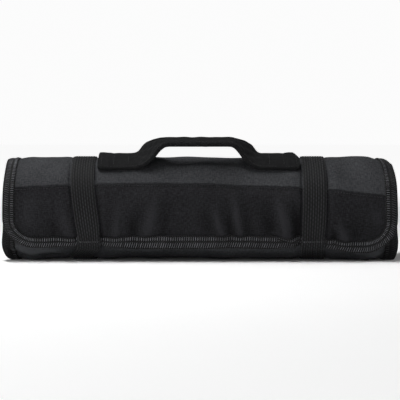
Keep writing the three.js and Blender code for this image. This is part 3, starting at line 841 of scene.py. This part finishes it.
# The tape's section, out along its upper leaf, round the sheet's edge, in along its lower leaf, and
# back along the inner sides of both.
stations = int(OUTLINE_LENGTH / TAPE_STEP)
distance = np.linspace(0, OUTLINE_LENGTH, stations, endpoint=False)
bend = np.linspace(0, np.pi, 7)
half_depth = TAPE_DEPTH / 2
profile_inside = np.concatenate([
    np.linspace(TAPE_WIDTH, TAPE_ROUND, 8)[:-1],
    TAPE_ROUND * (1 - np.sin(bend)),
    np.linspace(TAPE_ROUND, TAPE_WIDTH, 5)[1:],
    np.linspace(TAPE_WIDTH, TAPE_LEAF_FROM, 3),
    np.linspace(TAPE_LEAF_FROM, TAPE_WIDTH, 3),
])
profile_depth = np.concatenate([
    np.zeros(7),
    half_depth - half_depth * np.cos(bend),
    np.full(4, TAPE_DEPTH),
    np.full(3, TAPE_DEPTH - TAPE_THICKNESS),
    np.full(3, TAPE_THICKNESS),
])
profile_depth[0] += TAPE_INNER_EDGE_SUNK
profile_steps = np.hypot(np.diff(profile_inside), np.diff(profile_depth))
profile_girth = np.concatenate([[0], np.cumsum(profile_steps)])
# Its inner edge wanders a little, and its upper leaf is slightly crowned.
edge_wander = TAPE_WANDER * np.sin(distance * 310) * np.sin(distance * 97 + 1)
edge_wander = edge_wander + TAPE_FINE_WANDER * np.sin(distance * 1130)
profile_share = np.clip(profile_inside / TAPE_WIDTH, 0, 1)
inside = profile_inside[None, :] + edge_wander[:, None] * profile_share[None, :]
crown = TAPE_CROWN * np.sin(np.pi * profile_share) * (profile_depth < half_depth)
grid_distance = np.broadcast_to(distance[:, None], inside.shape)
grid_depth = np.broadcast_to((profile_depth - crown)[None, :], inside.shape)
tape_points = tape_place(grid_distance, inside, grid_depth)
rings, around = inside.shape
index = np.arange(rings * around).reshape(rings, around)
next_ring, next_around = np.roll(index, -1, axis=0), np.roll(index, -1, axis=1)
faces = np.stack([index, next_ring, np.roll(next_ring, -1, axis=1), next_around], -1).reshape(-1, 4)
flat = np.stack([grid_distance, np.broadcast_to(profile_girth[None, :], inside.shape)], -1).reshape(-1, 2)
# The binding's painted shade.
tape_painted_shade = np.repeat(edge_painted_shade(distance), around)
binding_tape = closed_mesh("binding_tape", tape_points.reshape(-1, 3), faces, flat, (), tape_painted_shade)


TAPE_WEAVE_PITCHES = (0.0024, 0.0020)
TAPE_RIB_PITCHES = (0.0011, 0.05)
TAPE_SPECK_SCALES = (520, 620)
TAPE_DRIFT_SCALE = 40.0
TAPE_PAINTED_GLINT_SHARE = 2.6


def tape_finish(dark, light):
    """Ribbed tape: cross ribs over a coarse weave, with painted highlights on its raised yarns in random
    specks, and the binding's painted shade over them.
    """
    material, tree, shader = new_finish("binding_tape", 0.66, 0.04, 0.35)
    threads, place = woven(tree, *TAPE_WEAVE_PITCHES)
    ribs, _ = woven(tree, *TAPE_RIB_PITCHES)
    specks = noise(tree, place, TAPE_SPECK_SCALES, 2.0)
    uneven = maths(tree, "MULTIPLY", specks, noise(tree, place, TAPE_DRIFT_SCALE, 2.0))
    # Painted highlights on the raised yarns, in random specks.
    painted_glint = maths(tree, "MULTIPLY", maths(tree, "POWER", threads, 3.0), uneven)
    painted_glint = maths(tree, "MULTIPLY", painted_glint, maths(tree, "ADD", painted_light_of_mesh(tree), 1.0))
    paint(tree, shader, maths(tree, "MULTIPLY", painted_glint, TAPE_PAINTED_GLINT_SHARE, held=True), dark, light)
    height = maths(tree, "MULTIPLY_ADD", threads, 0.8, maths(tree, "MULTIPLY", ribs, 0.4))
    emboss(tree, shader, height, 0.8, 0.0004)
    return material


# Its light colour is the painted highlight on the raised yarns.
black_tape = tape_finish((0.0036, 0.0036, 0.0038), (0.062, 0.062, 0.064))
dress(binding_tape, black_tape, "binding_tape", "edge_binding")

# Each row of stitches has the distances of its inner and outer end from the sheet's edge, its lean
# along the tape, its thread's radius, and how much of the binding's painted shade it takes.
STITCH_ROWS = (
    ("binding_stitches_inner", 0.0120, 0.0086, 0.0002, 0.00034, 0.9),
    ("binding_stitches_outer", 0.0070, 0.0018, 0.0019, 0.00030, 1.8),
)
STITCH_PITCH = 0.0024
DARKEST_PAINTED_STITCH = -0.9
THREAD_LIFT_SHARE = 0.6
# The stitching goes once round the roll on both ends, and a little way in under the flap.
SEWN_PAST_TURN = 0.02
SEWN_LENGTH = first_turn_length + SEWN_PAST_TURN
sewn_from = -(SEWN_LENGTH - CORNER_RADIUS) - CORNER_RADIUS * np.pi / 2
sewn_to = OUTLINE_MARKS[2] + SEWN_LENGTH - CORNER_RADIUS
pale_thread = thread_finish("pale_thread", (0.008, 0.008, 0.009), (0.170, 0.174, 0.188), 0.5)


def on_tape(distance, inside, up):
    """A place on the tape's upper leaf, over its crown."""
    share = np.clip(inside / TAPE_WIDTH, 0, 1)
    return tape_place(distance, inside, -TAPE_CROWN * np.sin(np.pi * share) - up)


for name, near, far, lean, radius, painted_shade_share in STITCH_ROWS:
    at = np.arange(sewn_from, sewn_to, STITCH_PITCH)
    starts = np.stack([at, np.full_like(at, near)], -1)
    ends = np.stack([at - lean, np.full_like(at, far)], -1)
    # Painted shade on the stitches, as on the binding under them.
    painted_tone = np.maximum(painted_shade_share * edge_painted_shade(at), DARKEST_PAINTED_STITCH)
    stitches = sewn_threads(name, starts, ends, on_tape, radius, radius * THREAD_LIFT_SHARE, painted_tone)
    dress(stitches, pale_thread, "binding_tape")

# Elastic loops. Two bands of black woven elastic, 25 mm wide and ribbed lengthwise, go round the
# roll. The upper end of each is sewn down on the flap just above its edge, over the lower end.
STRAP_THICKNESS = 0.0012
STRAP_RIBS = 8
RIB_RISE = 0.00042
SELVEDGE = 0.0018
STRAP_ANGLE_STEP = 1.6
JOINT_ANGLE = -33.5
JOINT_FLAT_ANGLE = 2
JOINT_LIFT = 0.0016
JOINT_EASE = 9
LEAVES_AT = 286
GAP_POINTS = 20
LOWER_END_FROM = 1
LOWER_END_ANGLE = -26
LOWER_END_POINTS = 14
LOWER_END_SUNK = 0.0006
LOWER_SHIFT_RUN = 0.25
LOWER_SHIFT = {"elastic_left": (-0.0056, -0.0014), "elastic_right": (0.0004, 0.0004)}
JOINT_PINCH = {"elastic_left": 0.10, "elastic_right": 0.06}
JOINT_PINCH_REACH = 0.014


def strap_path(strap):
    """The line of a band's outer face, point by point: from its upper end over the back to where it
    leaves the roll, across the gap below the flap's edge, and up over that edge to its lower end, which
    lies under the upper one."""
    round_angles = np.arange(JOINT_ANGLE, LEAVES_AT, STRAP_ANGLE_STEP)
    from_joint = round_angles - JOINT_ANGLE - JOINT_FLAT_ANGLE
    lift = JOINT_LIFT * (1 - eased(from_joint / JOINT_EASE))
    y, z = section(round_angles, cinch_depth(round_angles) - STRAP_STAND - lift)
    x = strap_centre(strap, round_angles)
    under_depth = STRAP_THICKNESS - STRAP_PROUD - JOINT_LIFT + LOWER_END_SUNK
    lower_from, lower_to = FLAP_EDGE_ANGLE + 360 + LOWER_END_FROM, LOWER_END_ANGLE + 360
    under_angles = np.linspace(lower_from, lower_to, LOWER_END_POINTS)
    under_y, under_z = section(under_angles, np.full(LOWER_END_POINTS, under_depth))
    shares = np.linspace(0, 1, GAP_POINTS)[1:-1]
    gap_y = y[-1] + shares * (under_y[0] - y[-1])
    gap_z = z[-1] + shares * (under_z[0] - z[-1])
    gap_angles = round_angles[-1] + shares * (under_angles[0] - round_angles[-1])
    late_angles = np.concatenate([gap_angles, under_angles])
    at_floor, at_joint = LOWER_SHIFT[strap]
    late_share = np.clip((late_angles - LEAVES_AT) / (under_angles[0] - LEAVES_AT), 0, 1)
    shift = (at_floor + (at_joint - at_floor) * late_share) * eased(late_share / LOWER_SHIFT_RUN)
    late_x = strap_centre(strap, late_angles) + shift
    whole = [np.concatenate([x, late_x]), np.concatenate([y, gap_y, under_y])]
    return np.stack([*whole, np.concatenate([z, gap_z, under_z])], -1)


def smooth_rows(rows, times):
    """Even out each row with its neighbours, in place. The ends stay."""
    for _ in range(times):
        rows[1:-1] = (rows[:-2] + 2 * rows[1:-1] + rows[2:]) / 4
    return rows


def tube_faces(rings, around):
    """The walls of a tube, ring after ring, and the two faces that close it."""
    index = np.arange(rings * around).reshape(rings, around)
    onward = np.roll(index, -1, axis=1)
    walls = np.stack([index[:-1], index[1:], onward[1:], onward[:-1]], -1).reshape(-1, 4)
    return walls, [index[0, ::-1].tolist(), index[-1].tolist()]


def strap_section():
    """The band's ribbed section: places across it, and heights above its outer face."""
    half = STRAP_WIDTH / 2
    count = 6 * STRAP_RIBS + 1
    ribs = RIB_RISE * np.abs(np.sin(np.pi * STRAP_RIBS * np.linspace(0, 1, count)))
    left_edge = -half + SELVEDGE * np.array([0, 0.12, 0.4, 0.75])
    edge_height = np.array([-0.0006, -0.00012, 0.00008, 0.00004])
    ribbed = np.linspace(-half + SELVEDGE, half - SELVEDGE, count)
    low_height = np.full(9, -STRAP_THICKNESS)
    low_height[[0, -1]] += 0.0003
    offsets = np.concatenate([left_edge, ribbed, -left_edge[::-1], np.linspace(half, -half, 9)])
    heights = np.concatenate([edge_height, ribs, edge_height[::-1], low_height])
    return offsets, heights


# Painted shade on the outer side of a band from just past its joint onwards, over the lit top, the right
# one less, and a painted highlight on its lower end, which faces down.
PAINTED_SHADE_ON_TOP = {"elastic_left": 0.42, "elastic_right": 0.14}
PAINTED_SHADE_FROM = 0.02
PAINTED_SHADE_RUN = 0.05
UPPER_END_PAINTED_LIGHT = 0.1
LOWER_END_PAINTED_LIGHT = 0.8
LOWER_PAINTED_LIGHT_LENGTH = 0.04
LOWER_PAINTED_LIGHT_RUN = 0.02


def elastic_band(strap):
    """One band: the piece, its length, and a function that gives a place on it."""
    centre = smooth_rows(strap_path(strap), 2)
    run = np.gradient(centre, axis=0)
    run /= np.linalg.norm(run, axis=1, keepdims=True)
    across = np.array([1.0, 0, 0])
    out = np.cross(run, across)
    out /= np.linalg.norm(out, axis=1, keepdims=True)
    if ((centre - np.array([0, 0, AXIS_HEIGHT])) * out).sum() < 0:
        out = -out
    offsets, heights = strap_section()
    along = np.concatenate([[0], np.cumsum(np.linalg.norm(np.diff(centre, axis=0), axis=1))])
    pinch = 1 - JOINT_PINCH[strap] * bell(np.minimum(along, along[-1] - along), JOINT_PINCH_REACH)
    points = (
        centre[:, None, :]
        + (pinch[:, None] * offsets[None, :])[:, :, None] * across[None, None, :]
        + heights[None, :, None] * out[:, None, :]
    )
    points[..., 2] = np.maximum(points[..., 2], 0)
    rings, around = points.shape[:2]
    faces, ends = tube_faces(rings, around)
    flat = np.stack(np.broadcast_arrays(offsets[None, :], along[:, None]), -1).reshape(-1, 2)
    # The band's painted shade over the top and painted highlight on its lower end.
    painted_tone = UPPER_END_PAINTED_LIGHT - PAINTED_SHADE_ON_TOP[strap] * eased((along - PAINTED_SHADE_FROM) / PAINTED_SHADE_RUN)
    painted_tone = painted_tone + LOWER_END_PAINTED_LIGHT * eased((along - along[-1] + LOWER_PAINTED_LIGHT_LENGTH) / LOWER_PAINTED_LIGHT_RUN)
    band = closed_mesh(strap, points.reshape(-1, 3), faces, flat, ends, np.repeat(painted_tone, around))

    def on_band(place, down, up):
        middle = np.stack([np.interp(down, along, centre[:, i]) for i in range(3)], -1)
        outwards = np.stack([np.interp(down, along, out[:, i]) for i in range(3)], -1)
        return middle + place[..., None] * across + np.asarray(up)[..., None] * outwards

    return band, float(along[-1]), on_band


DASH_PITCH = 0.0046
DASH_STEP = 2.9
KNIT_PITCH = 0.0009


def elastic_finish(dark, light):
    """Woven elastic: short dashes along each rib, each rib's a little further on, over a fine knit."""
    material, tree, shader = new_finish("black_elastic", 0.6, 0.04, 0.4)
    place = add(tree, "UVMap", {"uv_map": "flat"}).outputs[0]
    split = add(tree, "SeparateXYZ", i0=place)
    across, along = split.outputs[0], split.outputs[1]
    rib_pitch = (STRAP_WIDTH - 2 * SELVEDGE) / STRAP_RIBS
    rib_number = maths(tree, "FLOOR", maths(tree, "DIVIDE", across, rib_pitch))
    dash_start = maths(tree, "MULTIPLY", rib_number, DASH_STEP)
    dash = maths(tree, "SINE", maths(tree, "MULTIPLY_ADD", along, 2 * np.pi / DASH_PITCH, dash_start))
    knit = wave(tree, along, KNIT_PITCH)
    on_rib = maths(tree, "MULTIPLY_ADD", wave(tree, across, rib_pitch, "COSINE"), -0.5, 0.5)
    share = maths(tree, "MULTIPLY", on_rib, maths(tree, "MULTIPLY_ADD", dash, 0.2, 0.6))
    share = maths(tree, "MULTIPLY", share, maths(tree, "ADD", noise(tree, place, 420.0, 2.0), 0.45))
    # The band's painted light and shade, as elastic_band lays it on.
    painted_light_scale = maths(tree, "ADD", painted_light_of_mesh(tree), 1.0)
    paint(tree, shader, maths(tree, "MULTIPLY", share, painted_light_scale, held=True), dark, light)
    height = maths(tree, "MULTIPLY_ADD", dash, 0.6, maths(tree, "MULTIPLY", knit, 0.35))
    emboss(tree, shader, height, 0.5, 0.00018)
    return material


# One row of stitches holds each joint.
JOINT_STITCHES_FROM = -0.0105
JOINT_STITCHES_TO = 0.0090
JOINT_STITCH_PITCH = 0.0023
JOINT_STITCH_LENGTH = 0.0019
JOINT_STITCH_IN = 0.0017
JOINT_THREAD_RADIUS = 0.00045
JOINT_THREAD_LIFT = 0.0007

elastic = elastic_finish((0.0022, 0.0023, 0.0025), (0.032, 0.0327, 0.0347))
joint_thread = thread_finish("joint_thread", (0.03, 0.03, 0.032), (0.125, 0.127, 0.134))
row = np.arange(JOINT_STITCHES_FROM, JOINT_STITCHES_TO, JOINT_STITCH_PITCH)
starts = np.stack([row, np.full_like(row, JOINT_STITCH_IN)], -1)
ends = np.stack([row + JOINT_STITCH_LENGTH, np.full_like(row, JOINT_STITCH_IN)], -1)
for strap, node in (("elastic_left", "strap_left"), ("elastic_right", "strap_right")):
    band, length, on_band = elastic_band(strap)
    dress(band, elastic, "elastic", node)
    name = strap + "_joint_stitches"
    stitches = sewn_threads(name, starts, ends, on_band, JOINT_THREAD_RADIUS, JOINT_THREAD_LIFT)
    dress(stitches, joint_thread, "elastic")

# Carry handle. One strip of black cloth: its ends are turned under and sewn down on the top of the
# roll as two tabs, and its middle is folded lengthwise into a narrow grip with stitched edges.
HANDLE_ANGLE = 71
HANDLE_FIT = 0.0003
HANDLE_SHIFT = -0.0012
TAB_WIDTH = 0.042
TAB_THICKNESS = 0.0038
TAB_END_X = 0.1085
TAB_FOLD_LENGTH = 0.014
TAB_FOLD_EXTRA = 0.0006
TAB_FOLD_SLOPE = 0.0012
TAB_CORNER = 0.0035
TAB_SLANT = 0.0062
TAB_SLANT_REACH = 0.02
TAB_SLANT_FROM = -0.005
LEG_FOOT_X = 0.072
RIGHT_LEG_FOOT_X = 0.0675
GRIP_END_X = 0.036
GRIP_WIDTH = 0.0185
GRIP_THICKNESS = 0.0050
GRIP_LEAN = 0.0036
GRIP_HEIGHT = 0.0226
HANDLE_STEP = 0.0012
HANDLE_EDGE_ROUND = 0.0014
# From the foot of a leg to the grip: how far along, how high, how much of the tab's width is left,
# how much it still lies on the round of the roll, and its twist in degrees.
LEG_ALONG = (0, 0.14, 0.28, 0.43, 0.6, 0.77, 0.9, 1)
LEG_RISE = (0, 0.03, 0.13, 0.33, 0.57, 0.81, 0.94, 1)
LEG_SPREAD = (1, 1, 0.98, 0.92, 0.74, 0.4, 0.14, 0)
RIGHT_LEG_SPREAD = (1, 1, 0.94, 0.8, 0.54, 0.24, 0.06, 0)
LEG_LIE = (1, 0.92, 0.7, 0.42, 0.2, 0.06, 0, 0)
LEG_TWIST = (0, 1, 5, 11, 10, 6, 2, 0)

handle_x = np.arange(TAB_END_X, -TAB_END_X - HANDLE_STEP / 2, -HANDLE_STEP)
reach = np.abs(handle_x)
leg_foot = np.where(handle_x > 0, RIGHT_LEG_FOOT_X, LEG_FOOT_X)
leg = np.clip((leg_foot - reach) / (leg_foot - GRIP_END_X), 0, 1)
tab_height = HANDLE_FIT + TAB_THICKNESS / 2
handle_rise = tab_height + (GRIP_HEIGHT - tab_height) * np.interp(leg, LEG_ALONG, LEG_RISE)
spread = np.interp(leg, LEG_ALONG, LEG_SPREAD)
handle_lean = -GRIP_LEAN * (1 - spread)
spread = np.where(handle_x > 0, np.interp(leg, LEG_ALONG, RIGHT_LEG_SPREAD), spread)
handle_lie = np.interp(leg, LEG_ALONG, LEG_LIE)
handle_twist = np.interp(leg, LEG_ALONG, LEG_TWIST)
for row in (handle_rise, spread, handle_lean, handle_lie, handle_twist):
    smooth_rows(row, 10)
folded = eased((reach - (TAB_END_X - TAB_FOLD_LENGTH)) / TAB_FOLD_SLOPE)
handle_width = GRIP_WIDTH + (TAB_WIDTH - GRIP_WIDTH) * spread + 2 * TAB_FOLD_EXTRA * folded
from_end = TAB_END_X - reach
handle_width -= 2 * TAB_CORNER * (1 - np.sqrt(np.clip(from_end / TAB_CORNER, 0, 1)))
handle_thickness = GRIP_THICKNESS + (TAB_THICKNESS - GRIP_THICKNESS) * spread + TAB_FOLD_EXTRA * folded
handle_rise = handle_rise + TAB_FOLD_EXTRA / 2 * folded
path_rise = np.where(reach > leg_foot, tab_height, handle_rise)
handle_slope = np.arctan(np.gradient(path_rise, handle_x))


def tab_slant(x, across):
    """The right tab's end runs aslant over the crest: how far it is drawn in at a place across it."""
    near_end = np.clip((x - TAB_END_X + TAB_SLANT_REACH) / TAB_SLANT_REACH, 0, 1)
    share_across = np.clip((across - TAB_SLANT_FROM) / (TAB_WIDTH / 2 - TAB_SLANT_FROM), 0, 1)
    return TAB_SLANT * near_end * share_across


def handle_place(station, across, up):
    """A point of the handle: across its strip and up from its middle, at a station of its path."""
    station_x, rise, slope, lying, twist, lean = station
    turned = np.radians(twist)
    station_x = station_x - tab_slant(station_x, across)
    across = across + lean
    turned_across = across * np.cos(turned) - up * np.sin(turned)
    up = across * np.sin(turned) + up * np.cos(turned)
    x = station_x - up * np.sin(slope) + HANDLE_SHIFT
    height = rise + up * np.cos(slope)
    radius = (HALF_DEPTH + HALF_HEIGHT) / 2
    round_y, round_z = section(HANDLE_ANGLE + np.degrees(turned_across / radius), -height)
    flat_y, flat_z = section(HANDLE_ANGLE, -height)
    tangent_y = HALF_DEPTH * np.sin(np.radians(HANDLE_ANGLE))
    tangent_z = HALF_HEIGHT * np.cos(np.radians(HANDLE_ANGLE))
    size = np.hypot(tangent_y, tangent_z)
    flat_y = flat_y + turned_across * tangent_y / size
    flat_z = flat_z + turned_across * tangent_z / size
    y = flat_y + (round_y - flat_y) * lying
    z = flat_z + (round_z - flat_z) * lying
    return np.stack([x + 0 * y, y, z], -1)


# The strip's section is a flat band with rounded long edges: for each point, its place across the
# flat part, the side it is on, and where it lies on an edge's round.
flat_shares = np.linspace(1, -1, 25)
round_turns = np.linspace(np.pi / 2, -np.pi / 2, 7)[1:-1]
band_share = np.concatenate([flat_shares, np.full(5, -1.0), -flat_shares, np.full(5, 1.0)])
band_side = np.concatenate([np.ones(25), np.sin(round_turns), -np.ones(25), -np.sin(round_turns)])
band_round = np.concatenate([np.zeros(25), -np.cos(round_turns), np.zeros(25), np.cos(round_turns)])
edge_round = np.minimum(HANDLE_EDGE_ROUND, handle_thickness * 0.45)[:, None]
half_strip = handle_width[:, None] / 2
across = (half_strip - edge_round) * band_share + edge_round * band_round
upper = band_side > 0.99
on_round = (np.abs(band_share) > 0.999) * np.abs(band_round)
up = handle_thickness[:, None] / 2 * band_side * (1 - 0.12 * on_round)

# Creases of the legs where the strip narrows, soft rolls along its edges where the stitching draws it
# in, and slight waves of the whole strip, except on its lower side.
LEG_CREASE_RISE = 0.0005
EDGE_ROLL_RISE = 0.00055
EDGE_STITCH_IN = 0.0026
EDGE_STITCH_DIP = 0.00035
EDGE_STITCH_DIP_REACH = 0.0007
TAB_WAVE_RISE = 0.00035
EDGE_ROLL_AT = 0.93
EDGE_ROLL_REACH = 0.09
on_leg = (np.sin(np.pi * leg) ** 0.7)[:, None] * upper
station_x, station_reach = handle_x[:, None], reach[:, None]
creases = np.sin((station_reach * 1.2 + across) * 560) * 0.6
creases = creases + np.sin((station_reach - across * 1.5) * 350 + 1)
share_across = np.abs(across) / half_strip
edge_roll = EDGE_ROLL_RISE * bell(share_across - EDGE_ROLL_AT, EDGE_ROLL_REACH) * upper
from_stitches = half_strip - np.abs(across) - EDGE_STITCH_IN
sewn_dip = EDGE_STITCH_DIP * bell(from_stitches, EDGE_STITCH_DIP_REACH) * upper
waves = TAB_WAVE_RISE * np.sin(station_x * 330 + across * 90) * np.sin(across * 240 + station_x * 60)
up = up + LEG_CREASE_RISE * on_leg * creases * (1 - share_across**4)
up = up + edge_roll - sewn_dip + waves * (band_side > -0.99)
path = (handle_x, handle_rise, handle_slope, handle_lie, handle_twist, handle_lean)
handle_points = handle_place([row[:, None] for row in path], across, up)
rings, around = across.shape
walls, ends = tube_faces(rings, around)
flat = np.stack([np.broadcast_to(station_x, across.shape), across], -1).reshape(-1, 2)
carry_handle = closed_mesh("carry_handle", handle_points.reshape(-1, 3), walls, flat, ends)
handle_cloth = cloth_finish("handle_cloth", (0.0035, 0.0036, 0.0039), (0.0105, 0.0107, 0.0113), 0.88)
dress(carry_handle, handle_cloth, "handle_cloth", "handle")

# Edge stitches run along both long edges of the strip, and rows across the tabs hold them down.
EDGE_STITCH_PITCH = 0.0034
EDGE_STITCH_LENGTH = 0.0023
EDGE_STITCHES_FROM_END = 0.003
ROWS_ACROSS_X = (TAB_END_X - 0.0035, TAB_END_X - TAB_FOLD_LENGTH - 0.003, LEG_FOOT_X + 0.004)
ROW_ACROSS_REACH = 0.86
ROW_STITCH_SHARE = 0.09
HANDLE_THREAD_SUNK = 0.0001
HANDLE_THREAD_RADIUS = 0.0003
HANDLE_THREAD_LIFT = 0.00022


def on_handle(x, share, up):
    """A place on the handle's upper face: share of its half width, less the stitching's inset."""
    order = np.argsort(handle_x)

    def read(row):
        return np.interp(x, handle_x[order], row[order])

    across = np.sign(share) * (read(handle_width) / 2 * np.abs(share) - EDGE_STITCH_IN)
    height = read(handle_thickness) / 2 - HANDLE_THREAD_SUNK + up
    return handle_place([x, *(read(row) for row in path[1:])], across, height)


stitch_reach = TAB_END_X - EDGE_STITCHES_FROM_END
stitch_x = np.arange(-stitch_reach, stitch_reach, EDGE_STITCH_PITCH)
starts, ends = [], []
for side in (-1, 1):
    starts.append(np.stack([stitch_x, np.full_like(stitch_x, side)], -1))
    ends.append(np.stack([stitch_x + EDGE_STITCH_LENGTH, np.full_like(stitch_x, side)], -1))
row_shares = np.linspace(-ROW_ACROSS_REACH, ROW_ACROSS_REACH, 14)[:-1]
for row_x in ROWS_ACROSS_X:
    for side in (-1, 1):
        starts.append(np.stack([np.full_like(row_shares, side * row_x), row_shares], -1))
        ends.append(np.stack([np.full_like(row_shares, side * row_x), row_shares + ROW_STITCH_SHARE], -1))
starts, ends = np.concatenate(starts), np.concatenate(ends)
handle_stitches = sewn_threads(
    "handle_stitches", starts, ends, on_handle, HANDLE_THREAD_RADIUS, HANDLE_THREAD_LIFT
)
handle_thread = thread_finish("handle_thread", (0.006, 0.006, 0.0065), (0.024, 0.024, 0.025))
dress(handle_stitches, handle_thread, "handle_cloth")

# Surface, light and camera. A pale floor. A long, narrow softbox high above and a little in front
# throws the handle's shadow on the cloth below it. A low, wide one fills in from the front, and one
# beyond each end lights that end.
FLOOR_REACH = 14
FLOOR_GLOW = 0.84
FLOOR_GLOW_FROM = 0.4
FLOOR_GLOW_FULL = 1.9

floor_mesh = bpy.data.meshes.new("floor")
near, far = -FLOOR_REACH, FLOOR_REACH
floor_corners = [(near, near, 0), (far, near, 0), (far, far, 0), (near, far, 0)]
floor_mesh.from_pydata(floor_corners, [], [(0, 1, 2, 3)])
floor = bpy.data.objects.new("floor", floor_mesh)
bpy.context.scene.collection.objects.link(floor)
floor_finish, floor_tree, floor_shader = new_finish("pale_floor", 0.9, 0.0)
floor_shader.inputs["Base Color"].default_value = (0.95, 0.95, 0.95, 1)
# Away from the roll the floor itself glows, so that it runs into the white wall with no edge.
floor_place = add(floor_tree, "NewGeometry")
from_roll = add(floor_tree, "VectorMath", {"operation": "LENGTH"}, i0=floor_place.outputs["Position"])
glow = add(floor_tree, "MapRange", {"interpolation_type": "SMOOTHSTEP"}, Value=from_roll.outputs["Value"])
glow.inputs["From Min"].default_value = FLOOR_GLOW_FROM
glow.inputs["From Max"].default_value = FLOOR_GLOW_FULL
glow.inputs["To Max"].default_value = FLOOR_GLOW
floor_tree.links.new(glow.outputs["Result"], floor_shader.inputs["Emission Strength"])
floor_shader.inputs["Emission Color"].default_value = (1, 1, 1, 1)
floor_mesh.materials.append(floor_finish)


def softbox(name, place, aim, width, depth, power):
    light = bpy.data.lights.new(name, "AREA")
    light.shape = "RECTANGLE"
    light.size, light.size_y = width, depth
    light.energy = power
    lamp = bpy.data.objects.new(name, light)
    lamp.location = place
    lamp.rotation_euler = (Vector(aim) - Vector(place)).to_track_quat("-Z", "Y").to_euler()
    bpy.context.scene.collection.objects.link(lamp)


softbox("overhead", (-0.32, -0.16, 1.25), (-0.05, -0.03, 0.1), 0.9, 0.08, 16)
softbox("front_fill", (-0.8, -1.9, 0.12), (0, 0, 0.03), 1.6, 0.28, 7.4)
softbox("left_side", (-1.4, -0.1, 0.55), (-0.2, 0, 0.05), 1.1, 0.6, 5)
softbox("right_side", (1.4, 0.1, 0.55), (0.2, 0, 0.05), 1.1, 0.6, 4.5)

# A weak, wide sun from above the camera and a little to its left reaches the whole floor, and the
# room's own light fills in. The camera sees the room as a white wall.
daylight = bpy.data.lights.new("daylight", "SUN")
daylight.energy = 0.2
daylight.angle = 0.9
daylight_lamp = bpy.data.objects.new("daylight", daylight)
daylight_lamp.rotation_euler = Vector((0.3, 0.75, -0.62)).to_track_quat("-Z", "Y").to_euler()
bpy.context.scene.collection.objects.link(daylight_lamp)

world = bpy.data.worlds.new("studio")
bpy.context.scene.world = world
world.use_nodes = True
room = world.node_tree
room_light = room.nodes["Background"]
room_light.inputs["Color"].default_value = (1, 1, 1, 1)
room_light.inputs["Strength"].default_value = 0.075
white_wall = add(room, "Background", None, Color=(1, 1, 1, 1), Strength=0.97)
seen = add(room, "LightPath").outputs["Is Camera Ray"]
both = add(room, "MixShader", None, i0=seen, i1=room_light.outputs[0], i2=white_wall.outputs[0])
room.links.new(both.outputs[0], room.nodes["World Output"].inputs["Surface"])
bpy.context.scene.view_settings.view_transform = "Standard"

CAMERA_DISTANCE = 1.4
CAMERA_ELEVATION = 3
CAMERA_AIM_HEIGHT = 0.0640
CAMERA_LENS = 114.6

camera_data = bpy.data.cameras.new("camera")
camera_data.lens = CAMERA_LENS
camera_data.clip_end = 60
camera = bpy.data.objects.new("camera", camera_data)
lift = np.radians(CAMERA_ELEVATION)
aim = Vector((0, 0, CAMERA_AIM_HEIGHT))
camera.location = aim + CAMERA_DISTANCE * Vector((0, -np.cos(lift), np.sin(lift)))
camera.rotation_euler = (aim - camera.location).to_track_quat("-Z", "Y").to_euler()
bpy.context.scene.collection.objects.link(camera)
bpy.context.scene.camera = camera
